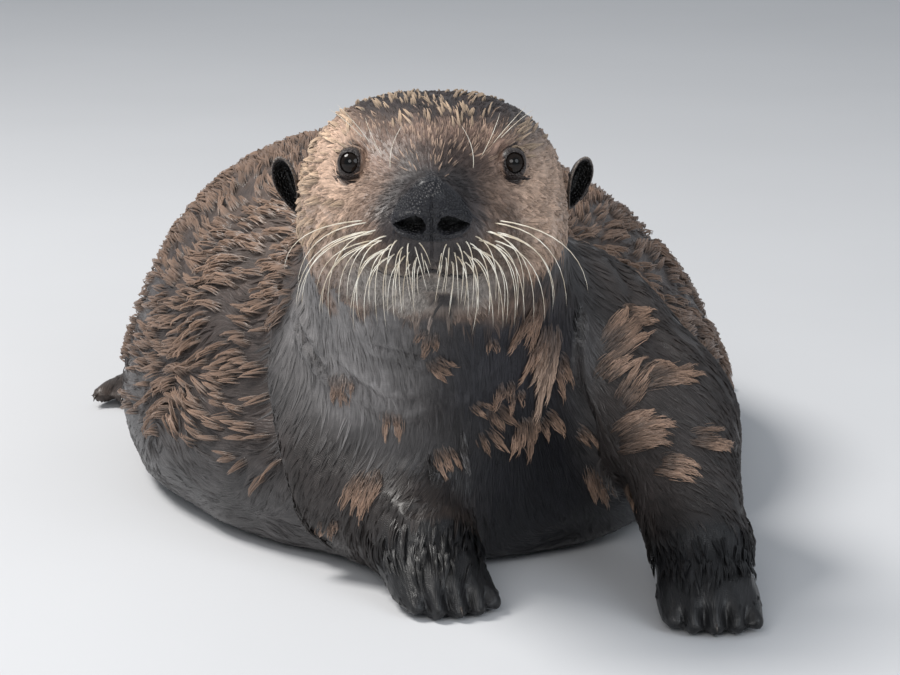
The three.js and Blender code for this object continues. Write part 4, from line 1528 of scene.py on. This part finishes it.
def flame_locks(pelt, rng, root, axes, length, width, aim, bend):
    """Paths and starts of the locks of one flame, in mm along and across its axes from the root."""
    way, side = axes
    count = max(int(length * width * TUFT_FILL), FEWEST_LOCKS)
    start = rng.uniform(0, 0.68, count)
    share = rng.uniform(0.24, 0.42, count)
    off = rng.normal(0, 0.30, count)
    turn = rng.normal(0, 0.07, count)
    places, nears = [], []
    for step in range(TUFT_STEPS + 1):
        s = start + share * step / TUFT_STEPS
        wide = width * 1.25 * np.sin(np.clip(s * 0.84 + 0.18, 0, 1) * math.pi) ** 0.8
        over = aim * (0.5 + 0.5 * s) + wide * off + bend * s**2 + turn * length * (s - start)
        place = root + way * (s * length * MM)[:, None] + side * (over * MM)[:, None]
        nearest = pelt.nearest(place)
        places.append(pelt.settle(place, nearest, 0))
        nears.append(nearest)
    return np.stack(places, axis=1), np.stack(nears, axis=1), start


def build_tufts():
    """Tufts placed one by one, each of a few flames of locks that narrow to their tips."""
    pelt = current_pelt()
    rng = np.random.default_rng(SEED + 30)
    tree = skin_tree(bpy.data.objects["skin"])
    rows = []
    for x, z, angle, length, width, name in TUFTS:
        hit, normal = (np.array(vector) for vector in hit_from_front(tree, x * MM, z * MM))
        length = length * bpy.context.scene.otter_sizes.tuft_length
        width = width * TUFT_WIDTH
        turn = math.radians(angle)
        way = np.array((math.cos(turn), 0, math.sin(turn)))
        way = unit(way - normal * (way @ normal))
        axes = way, np.cross(normal, way)
        flames = 1 + int(width / 4.5)
        bend = rng.normal(0, 0.12) * length
        for flame in range(flames):
            aim = (0 if flames == 1 else flame / (flames - 1) - 0.5) * width * 1.2
            reach = length * rng.uniform(0.8, 1.3) * (1 - 0.35 * abs(aim) / width)
            root = hit + way * rng.uniform(0, 0.14) * length * MM
            places, nears, start = flame_locks(pelt, rng, root, axes, reach, width * 1.1 / flames, aim, bend)
            count = len(start)
            hang = np.full(count, HANGING if name == "sheen" else 1.0)
            tint = np.tile(colour_of(name) * rng.uniform(0.75, 1.25), (count, 1))
            rows.append((places, nears, start, np.tile(hit, (count, 1)), hang, tint))
    places, nears, start, roots, hang, tint = (np.concatenate(part) for part in zip(*rows))
    count = len(places)
    base = pelt.colours[nears[:, 0]]
    # Painted shade at each flame's root: locks that start near it take little of the tuft's colour and stay
    # dark
    shown = (0.3 + 0.7 * smooth_step(0.05, 0.4, start))[:, None]
    tone = rng.uniform(0.5, 1.35, count)[:, None]
    rise = rng.uniform(0.6, 1.5, count) * hang
    locks = dict(places=places, nears=nears, shape=LONG_LOCK, width=rng.uniform(0.3, 0.7, count) * MM,
                 thickness=rng.uniform(0.25, 0.45, count) * MM, fade=0.7, stray=rng.random(count) * 100,
                 root_colour=0.8 * base + 0.15 * tint * shown,
                 tip_colour=(base * (1 - shown) + tint * shown) * tone, uv=pelt.place_on_unwrap(roots),
                 lift=np.array([np.full(count, -0.5 * MM)] + [h * MM * rise for h in (1.1, 1.8, 1.1)]))
    plant("tufts", pelt, locks, body_locks())


def clump_children(pelt, paths, near, family, length_share, rng):
    """Places and nearest vertices of each clump's locks, and how far out in the clump each begins."""
    guides, many = len(near), family["children"]
    path = np.stack(paths, axis=1)
    steps = path.shape[1] - 1
    normal, way = pelt.normals[near], pelt.lie[near]
    side = np.cross(normal, way)
    off = np.clip(rng.normal(0, 0.6, (guides, many, 2)), -1.3, 1.3) * family["spread"] * MM
    offset = side[:, None] * off[..., :1] + way[:, None] * off[..., 1:] * 1.4
    places, nears = [], []
    row = np.arange(guides)[:, None]
    for step in range(steps + 1):
        s = step * length_share
        k = np.minimum(s.astype(int), steps - 1)
        t = (s - k)[..., None]
        on_guide = path[row, k] * (1 - t) + path[row, k + 1] * t
        gather = 1 - 0.84 * (step / steps) ** 1.2
        place = (on_guide + offset * gather).reshape(-1, 3)
        nearest = pelt.nearest(place)
        places.append(pelt.settle(place, nearest, 0))
        nears.append(nearest)
    outer = np.abs(off[..., 0]).ravel() / (family["spread"] * MM)
    return np.stack(places, axis=1), np.stack(nears, axis=1), outer


TRACE_STEPS = 4  # stretches along each guide


def grow_family(pelt, name, family, material, rng):
    """Coat pieces of one family: clumps of locks drawn together towards the tip of their guide."""
    sizes = bpy.context.scene.otter_sizes
    thin = sizes.coat_density * 1
    density = pelt.region(*family["on"]) ** 1.5 * family["guides"] * thin
    if "where" in family:
        density = density * family["where"](pelt.points)
    roots, near = pelt.sow(rng, density)
    guides, many = len(roots), family["children"]
    length = rng.uniform(*family["length"], guides) * MM * sizes.lock_length
    paths, _ = pelt.trace(roots, near, length, TRACE_STEPS, rng.normal(0, 0.18, guides))
    reach = rng.uniform(0.76, 1.0, (guides, many))
    places, nears, outer = clump_children(pelt, paths, near, family, reach, rng)

    count = guides * many
    base = pelt.colours[nears[:, 0]]
    tone = (np.repeat(rng.uniform(0.8, 1.2, guides), many) * rng.uniform(0.86, 1.14, count))[:, None]
    low, high = family["tones"]
    tip = base if "tip" not in family else 0.25 * base + 0.75 * colour_of(family["tip"])
    size = rng.uniform(0.8, 1.25, count) * MM
    rise = rng.uniform(0.75, 1.2, count) * (1.1 - 0.3 * outer)
    locks = dict(places=places, nears=nears, shape=family["shape"], width=family["width"] * size,
                 thickness=family["thickness"] * size, root_colour=base * tone * low,
                 tip_colour=tip * tone * high, fade=family.get("fade", 1.0), stray=rng.random(count) * 100,
                 uv=pelt.place_on_unwrap(np.repeat(roots, many, axis=0)),
                 lift=np.array([np.full(count, h * MM) if h < 0 else h * MM * rise for h in family["lift"]]))
    plant(name, pelt, locks, material)


def plant(name, pelt, locks, material):
    """Makes the pieces of a family, from one side of the otter to the other."""
    order = np.argsort(locks["places"][:, 0, 0])
    number = math.ceil(len(order) / LOCKS_IN_PIECE)
    for part, chosen in enumerate(np.array_split(order, number)):
        mine = {key: value[chosen] if isinstance(value, np.ndarray) and key != "lift" else value
                for key, value in locks.items()}
        mine["lift"] = locks["lift"][:, chosen]
        label = "coat_" + name + (f"_{part + 1}" if number > 1 else "")
        mesh = lock_mesh(label, pelt, mine)
        mesh.materials.append(material)
        obj = new_object(label, mesh)
        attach(obj, "root")


@functools.lru_cache(maxsize=1)
def current_pelt():
    """The skin's arrays, read once for all of the coat."""
    return Pelt(bpy.data.objects["skin"])


@functools.lru_cache(maxsize=1)
def body_locks():
    """The material of all locks but the head's, made once."""
    return lock_material("wet_locks", gloss=0.2, roughness=0.4)


@functools.lru_cache(maxsize=1)
def head_locks():
    """The duller material of the head's locks."""
    return lock_material("damp_locks", gloss=0.05, roughness=0.5)


def build_coat(families, material, seed):
    """Grows some families, each with random draws of its own."""
    for number, (name, family) in enumerate(families.items()):
        grow_family(current_pelt(), name, family, material, np.random.default_rng(seed + number))


# -------------------------------- eyes, whiskers and claws

PUPIL_RADIUS = 2.3 * MM
IRIS_RADIUS = 5.0 * MM
CORNEA_RADIUS = 4.8 * MM
CORNEA_BULGE = 0.6 * MM
PUPIL_BLACK = (0.002, 0.002, 0.002)
EYE_DARK = (0.006, 0.005, 0.005)  # the visible part of the white, which is dark
EYE_BACK = (0.012, 0.009, 0.008)


def eyeball_mesh(name, eye):
    """A globe whose cornea bulges a little, with a black pupil in a dark brown iris."""
    centre, look, sideways, up = eye_axes(eye)
    rows, around = 40, 48
    points, tints = [], []
    for row in range(rows + 1):
        angle = math.pi * row / rows
        ring = math.sin(angle) * EYE_RADIUS
        in_front = angle < math.pi / 2
        bulge = CORNEA_BULGE * math.exp(-((ring / CORNEA_RADIUS) ** 2)) * in_front
        if not in_front:
            tint = EYE_BACK
        elif ring < PUPIL_RADIUS:
            tint = PUPIL_BLACK
        elif ring < IRIS_RADIUS:
            tint = tuple(colour_of("iris"))
        else:
            tint = EYE_DARK
        for k in range(around):
            turn = 2 * math.pi * k / around
            flat = sideways * math.cos(turn) + up * math.sin(turn)
            points.append(centre + look * (math.cos(angle) * EYE_RADIUS + bulge) + flat * ring)
            tints.append((*tint, 1))
    mesh = mesh_from(name, points, ring_faces(rows + 1, around))
    bm = bmesh.new()
    bm.from_mesh(mesh)
    layer = bm.verts.layers.float_color.new("tint")
    for vert, tint in zip(bm.verts, tints):
        vert[layer] = tint
    bmesh.ops.remove_doubles(bm, verts=bm.verts, dist=WELD)
    bmesh.ops.recalc_face_normals(bm, faces=bm.faces)
    bm.to_mesh(mesh)
    bm.free()
    mesh.shade_smooth()
    return mesh


def eye_material():
    """A wet, mirror-smooth eye with faint fibres in the iris."""
    material, tree, shader = shader_material("wet_eye", {"Roughness": 0.03, "Specular IOR Level": 0.28})
    tint = attribute(tree, "tint").outputs["Color"]
    fibres = spatial_noise(tree, 1400, 3.0)
    tone = remap(tree, fibres, 0.3, 0.7, 0.6, 1.5)
    tree.links.new(shaded(tree, tint, tone), shader.inputs["Base Color"])
    return material


def build_eyes():
    material = eye_material()
    for eye in EYES:
        mesh = eyeball_mesh("globe_" + eye, eye)
        mesh.materials.append(material)
        obj = new_object("globe_" + eye, mesh)
        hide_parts(eye)
        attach(obj, "root")


def tapered_tube(path, root, tip, sides):
    """Points and faces of a closed, tapering tube along a path."""
    path = np.asarray(path)
    along = unit(np.gradient(path, axis=0))
    guide = np.array((0.3, 0.2, 0.93))
    across = unit(np.cross(along, guide))
    upward = np.cross(across, along)
    last = len(path) - 1
    points = []
    for k in range(last):
        radius = root + (tip - root) * (k / last) ** 0.8
        for j in range(sides):
            turn = 2 * math.pi * j / sides
            points.append(path[k] + (across[k] * math.cos(turn) + upward[k] * math.sin(turn)) * radius)
    points.append(path[last])
    faces = ring_faces(last, sides)
    end = (last - 1) * sides
    faces += [(end + j, end + (j + 1) % sides, len(points) - 1) for j in range(sides)]
    faces.append(tuple(range(sides))[::-1])
    return points, faces


def tubes_mesh(name, tubes):
    points, faces = [], []
    for tube_points, tube_faces in tubes:
        start = len(points)
        points += list(tube_points)
        faces += [tuple(start + i for i in face) for face in tube_faces]
    return mesh_from(name, points, faces)


def skin_tree(skin):
    return BVHTree.FromObject(skin, bpy.context.evaluated_depsgraph_get())


def face_hit(tree, x, z):
    """Place and normal on the face, at a distance left of its middle plane and a height."""
    place, normal = hit_from_front(tree, FACE_X + x, z)
    return np.array(place), np.array(normal)


def bent_path(root, first, last, steps):
    """A quadratic curve from root, leaving along `first` and ending at root + last."""
    t = np.linspace(0, 1, steps + 1)[:, None]
    return root + 2 * t * (1 - t) * first + t * t * last


WHISKER_ROWS = 6
WHISKER_COLUMNS = 6
WHISKER_TIP = 0.08 * MM  # radius


def whisker_tubes(tree, rng, sizes):
    """Stiff whiskers in rows on both pads: the outer ones arch out and down, the middle ones hang."""
    scale = sizes.whisker_length / LONGEST_WHISKER
    tubes = []
    for side in (-1, 1):
        for row in range(WHISKER_ROWS):
            low = row / (WHISKER_ROWS - 1)
            for column in range(WHISKER_COLUMNS):
                out = (column + 0.5 * (row % 2)) / (WHISKER_COLUMNS - 0.5)
                x = side * (7 + 28 * out - 4 * low + rng.normal(0, 0.6)) * MM
                z = (217 + 12 * out**2 - 13 * low + rng.normal(0, 0.5)) * MM
                root, normal = face_hit(tree, x, z)
                root = root - normal * 1.2 * MM
                length = (15 + 41 * out**0.6) * (1 - 0.14 * low) * rng.uniform(0.76, 1.14) * scale
                sweep = (-0.26 + 1.12 * out**0.85) * (1 - 0.36 * low) * (0.94 - 0.1 * side)
                sweep += rng.normal(0, 0.10)
                fall = math.sqrt(max(1 - sweep**2, 0.12))
                ahead = 0.30 * (1 - out) + 0.10 + 0.12 * rng.random()
                last = np.array((side * sweep, -ahead * 0.4, -fall)) * length
                arch = 0.12 + 0.24 * out + rng.normal(0, 0.05)
                first = np.array((side * (sweep + arch), -ahead - 0.10, -fall * 0.12)) * length * 0.66
                path = bent_path(root, first + normal * 2 * MM, last, 10)
                tubes.append(tapered_tube(path, sizes.whisker_radius, WHISKER_TIP, 5))
    return tubes


# Whiskers over each eye: distance from the face's middle plane and height in mm, lean outward, length in mm
BROW_WHISKERS = ((22, 250, -0.4, 30), (26, 255, 0.3, 30), (32, 260, 0.8, 32), (36, 262, 1.1, 26))


def brow_tubes(tree, rng, sizes):
    """A few thin hairs over the inner corners of the eyes, which lie back over the brow."""
    scale = sizes.whisker_length / LONGEST_WHISKER
    tubes = []
    for side in (-1, 1):
        for x, z, lean, length in BROW_WHISKERS:
            root, normal = face_hit(tree, side * x * MM, z * MM)
            rise = unit(np.array((side * lean, 0.55, 0.75))) * rng.uniform(0.9, 1.1)
            last = (rise + normal * 0.25) * length * scale * 0.8
            path = bent_path(root - normal * MM, normal * length * 0.25 * MM + last * 0.35, last, 7)
            tubes.append(tapered_tube(path, 0.24 * MM, WHISKER_TIP, 4))
    return tubes


def whisker_material():
    material, tree, shader = shader_material("ivory_whisker", {"Roughness": 0.4, "Specular IOR Level": 0.5})
    bands = spatial_noise(tree, 150, 2.0)
    tone = between(tree, remap(tree, bands, 0.35, 0.65, 0, 1), "whisker_dark", "whisker_pale")
    tree.links.new(tone, shader.inputs["Base Color"])
    return material


def build_whiskers():
    rng = np.random.default_rng(SEED + 40)
    tree = skin_tree(bpy.data.objects["skin"])
    sizes = bpy.context.scene.otter_sizes
    mesh = tubes_mesh("whiskers", whisker_tubes(tree, rng, sizes) + brow_tubes(tree, rng, sizes))
    mesh.materials.append(whisker_material())
    obj = new_object("whiskers", mesh)
    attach(obj, "root")


def claw_tube(foot, place, length, radius):
    """A short hooked claw over the end of one toe."""
    _, forward, _ = foot_axes(foot)
    tip = toe_tip(foot, place)
    root = tip - forward * 1.5 * MM + np.array((0, 0, 9.0 * MM))
    down = np.array((0, 0, -1.0))
    first = forward * length * 0.75 + down * length * 0.05
    last = forward * length + down * length * 0.75
    return tapered_tube(bent_path(root, first, last, 7), radius, radius * 0.15, 8)


def claw_material():
    material, tree, shader = shader_material("dark_horn", {
        "Roughness": 0.3, "Specular IOR Level": 0.5, "Coat Weight": 0.3, "Coat Roughness": 0.1})
    grain = spatial_noise(tree, 500, 3.0)
    tone = between(tree, remap(tree, grain, 0.3, 0.7, 0, 1), "claw_dark", "claw_pale")
    tree.links.new(tone, shader.inputs["Base Color"])
    return material


def build_claws():
    sizes = bpy.context.scene.otter_sizes
    material = claw_material()
    for name, foot in FEET.items():
        fore = name in FORE_PAWS
        length = sizes.fore_claw if fore else sizes.hind_claw
        radius = (1.4 if fore else 1.3) * MM
        places = np.linspace(-1, 1, foot["count"])
        mesh = tubes_mesh("claws_" + name, [claw_tube(foot, place, length, radius) for place in places])
        mesh.materials.append(material)
        obj = new_object("claws_" + name, mesh)
        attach(obj, "root")


# -------------------------------- the stage

FLOOR_SIZE = 30
LIGHTS_AIM = Vector((0, 0, 0.12))
SENSOR_WIDTH = 36  # mm


class OtterStage(bpy.types.PropertyGroup):
    """The camera, the floor and the lights."""

    camera_place: FloatVectorProperty(
        name="Camera place", description="Where the camera stands", default=(0, -2.003, 0.551),
        subtype="TRANSLATION", unit="LENGTH")
    camera_tilt: FloatProperty(
        name="Camera tilt", description="How far the camera looks down", default=math.radians(13),
        subtype="ANGLE", unit="ROTATION")
    camera_lens: FloatProperty(
        name="Lens", description="Focal length in mm on a 36 mm wide sensor", default=132, min=20, max=400)
    floor: colour_property("Floor", "Colour of the pale floor", (0.62, 0.63, 0.65))
    key_power: FloatProperty(
        name="Key light", description="Power of the light over the otter's right side", default=62, min=0,
        unit="POWER")
    fill_power: FloatProperty(
        name="Fill light", description="Power of the light from the otter's left", default=20, min=0,
        unit="POWER")
    front_power: FloatProperty(
        name="Front light", description="Power of the light beside the camera", default=24, min=0,
        unit="POWER")
    sky: colour_property("Sky", "Colour of the light from all round", (0.75, 0.8, 0.86))
    sky_strength: FloatProperty(
        name="Sky strength", description="Strength of the light from all round", default=0.45, min=0)


def stage_material(colour):
    """A matt floor with a faint unevenness."""
    material, tree, shader = shader_material("pale_floor", {"Roughness": 0.75, "Specular IOR Level": 0.3})
    tone = remap(tree, spatial_noise(tree, 3.0, 3.0), 0.3, 0.7, 0.985, 1.015)
    tree.links.new(shaded(tree, tuple(colour), tone), shader.inputs["Base Color"])
    return material


def area_light(name, place, size, power, tint):
    """A round soft light, `size` wide, that faces the otter."""
    light = bpy.data.lights.new(name, "AREA")
    light.shape = "DISK"
    light.size = size
    light.energy = power
    light.color = tint
    obj = bpy.data.objects.new(name, light)
    obj.location = place
    obj.rotation_euler = (LIGHTS_AIM - Vector(place)).to_track_quat("-Z", "Y").to_euler()
    bpy.context.scene.collection.objects.link(obj)


def build_stage():
    stage = bpy.context.scene.otter_stage
    bpy.ops.mesh.primitive_plane_add(size=FLOOR_SIZE)
    floor = bpy.context.object
    floor.name = "floor"
    floor.data.materials.append(stage_material(stage.floor))

    area_light("key_light", (-1.4, 0.1, 2.2), 1.0, stage.key_power, (1.0, 0.97, 0.93))
    area_light("fill_light", (1.6, -2.0, 1.4), 1.6, stage.fill_power, (0.9, 0.95, 1.0))
    area_light("front_light", (-0.6, -2.6, 1.5), 1.4, stage.front_power, (1.0, 0.98, 0.96))

    bpy.context.scene.view_settings.view_transform = "Standard"
    world = bpy.data.worlds.new("studio")
    world.use_nodes = True
    background = world.node_tree.nodes["Background"]
    background.inputs["Color"].default_value = (*stage.sky, 1)
    background.inputs["Strength"].default_value = stage.sky_strength
    bpy.context.scene.world = world

    camera = bpy.data.objects.new("camera", bpy.data.cameras.new("camera"))
    camera.data.lens = stage.camera_lens
    camera.data.sensor_width = SENSOR_WIDTH
    camera.location = stage.camera_place
    camera.rotation_euler = (math.pi / 2 - stage.camera_tilt, 0, 0)
    bpy.context.scene.collection.objects.link(camera)
    bpy.context.scene.camera = camera


# -------------------------------- operators and panel

class OTTER_OT_skin(bpy.types.Operator):
    """Build the one skin that stands for all of the flesh, with its face, folds, toes and ears"""

    bl_idname = "otter.skin"
    bl_label = "Skin"

    def execute(self, context):
        build_skin()
        return {"FINISHED"}


class OTTER_OT_head_coat(bpy.types.Operator):
    """Grow the short fur of the face and head, with the pale streaks of the crown and cheeks"""

    bl_idname = "otter.head_coat"
    bl_label = "Head coat"

    def execute(self, context):
        build_coat(HEAD_COAT, head_locks(), SEED)
        return {"FINISHED"}


class OTTER_OT_body_coat(bpy.types.Operator):
    """Grow the sleek fur of the throat and trunk, with the tufts of the back and flanks"""

    bl_idname = "otter.body_coat"
    bl_label = "Body coat"

    def execute(self, context):
        build_coat(BODY_COAT, body_locks(), SEED + 10)
        return {"FINISHED"}


class OTTER_OT_limb_coat(bpy.types.Operator):
    """Grow the fur of the forelegs, paws, thighs, flippers and tail"""

    bl_idname = "otter.limb_coat"
    bl_label = "Limb coat"

    def execute(self, context):
        build_coat(LIMB_COAT, body_locks(), SEED + 20)
        return {"FINISHED"}


class OTTER_OT_tufts(bpy.types.Operator):
    """Set the single tufts on the chest and forelegs"""

    bl_idname = "otter.tufts"
    bl_label = "Single tufts"

    def execute(self, context):
        build_tufts()
        return {"FINISHED"}


class OTTER_OT_eyes(bpy.types.Operator):
    """Set an eyeball with a bulging cornea in each socket"""

    bl_idname = "otter.eyes"
    bl_label = "Eyes"

    def execute(self, context):
        build_eyes()
        return {"FINISHED"}


class OTTER_OT_whiskers(bpy.types.Operator):
    """Set the whiskers on their pads and over the brows"""

    bl_idname = "otter.whiskers"
    bl_label = "Whiskers"

    def execute(self, context):
        build_whiskers()
        return {"FINISHED"}


class OTTER_OT_claws(bpy.types.Operator):
    """Set a hooked claw on every toe"""

    bl_idname = "otter.claws"
    bl_label = "Claws"

    def execute(self, context):
        build_claws()
        return {"FINISHED"}


class OTTER_OT_stage(bpy.types.Operator):
    """Lay the floor and place the lights and the camera"""

    bl_idname = "otter.stage"
    bl_label = "Stage"

    def execute(self, context):
        build_stage()
        return {"FINISHED"}


OPERATORS = (OTTER_OT_skin, OTTER_OT_head_coat, OTTER_OT_body_coat, OTTER_OT_limb_coat, OTTER_OT_tufts,
             OTTER_OT_eyes, OTTER_OT_whiskers, OTTER_OT_claws, OTTER_OT_stage)
SETTINGS = {"otter_colours": OtterColours, "otter_sizes": OtterSizes, "otter_stage": OtterStage}


class OTTER_PT_panel(bpy.types.Panel):
    """Lists the operators in the order in which they build the otter, and the settings they read"""

    bl_idname = "OTTER_PT_panel"
    bl_label = "Sea Otter"
    bl_space_type = "VIEW_3D"
    bl_region_type = "UI"
    bl_category = "Sea Otter"

    def draw(self, context):
        for operator in OPERATORS:
            self.layout.operator(operator.bl_idname)
        for name, group in SETTINGS.items():
            box = self.layout.box()
            for key in group.__annotations__:
                box.prop(getattr(context.scene, name), key)


CLASSES = (*SETTINGS.values(), *OPERATORS, OTTER_PT_panel)


def register():
    for kind in CLASSES:
        bpy.utils.register_class(kind)
    for name, group in SETTINGS.items():
        setattr(bpy.types.Scene, name, PointerProperty(type=group))


def unregister():
    for name in SETTINGS:
        delattr(bpy.types.Scene, name)
    for kind in reversed(CLASSES):
        bpy.utils.unregister_class(kind)


def main():
    register()
    bpy.ops.otter.skin()
    bpy.ops.otter.head_coat()
    bpy.ops.otter.body_coat()
    bpy.ops.otter.limb_coat()
    bpy.ops.otter.tufts()
    bpy.ops.otter.eyes()
    bpy.ops.otter.whiskers()
    bpy.ops.otter.claws()
    bpy.ops.otter.stage()


if __name__ == "__main__":
    main()
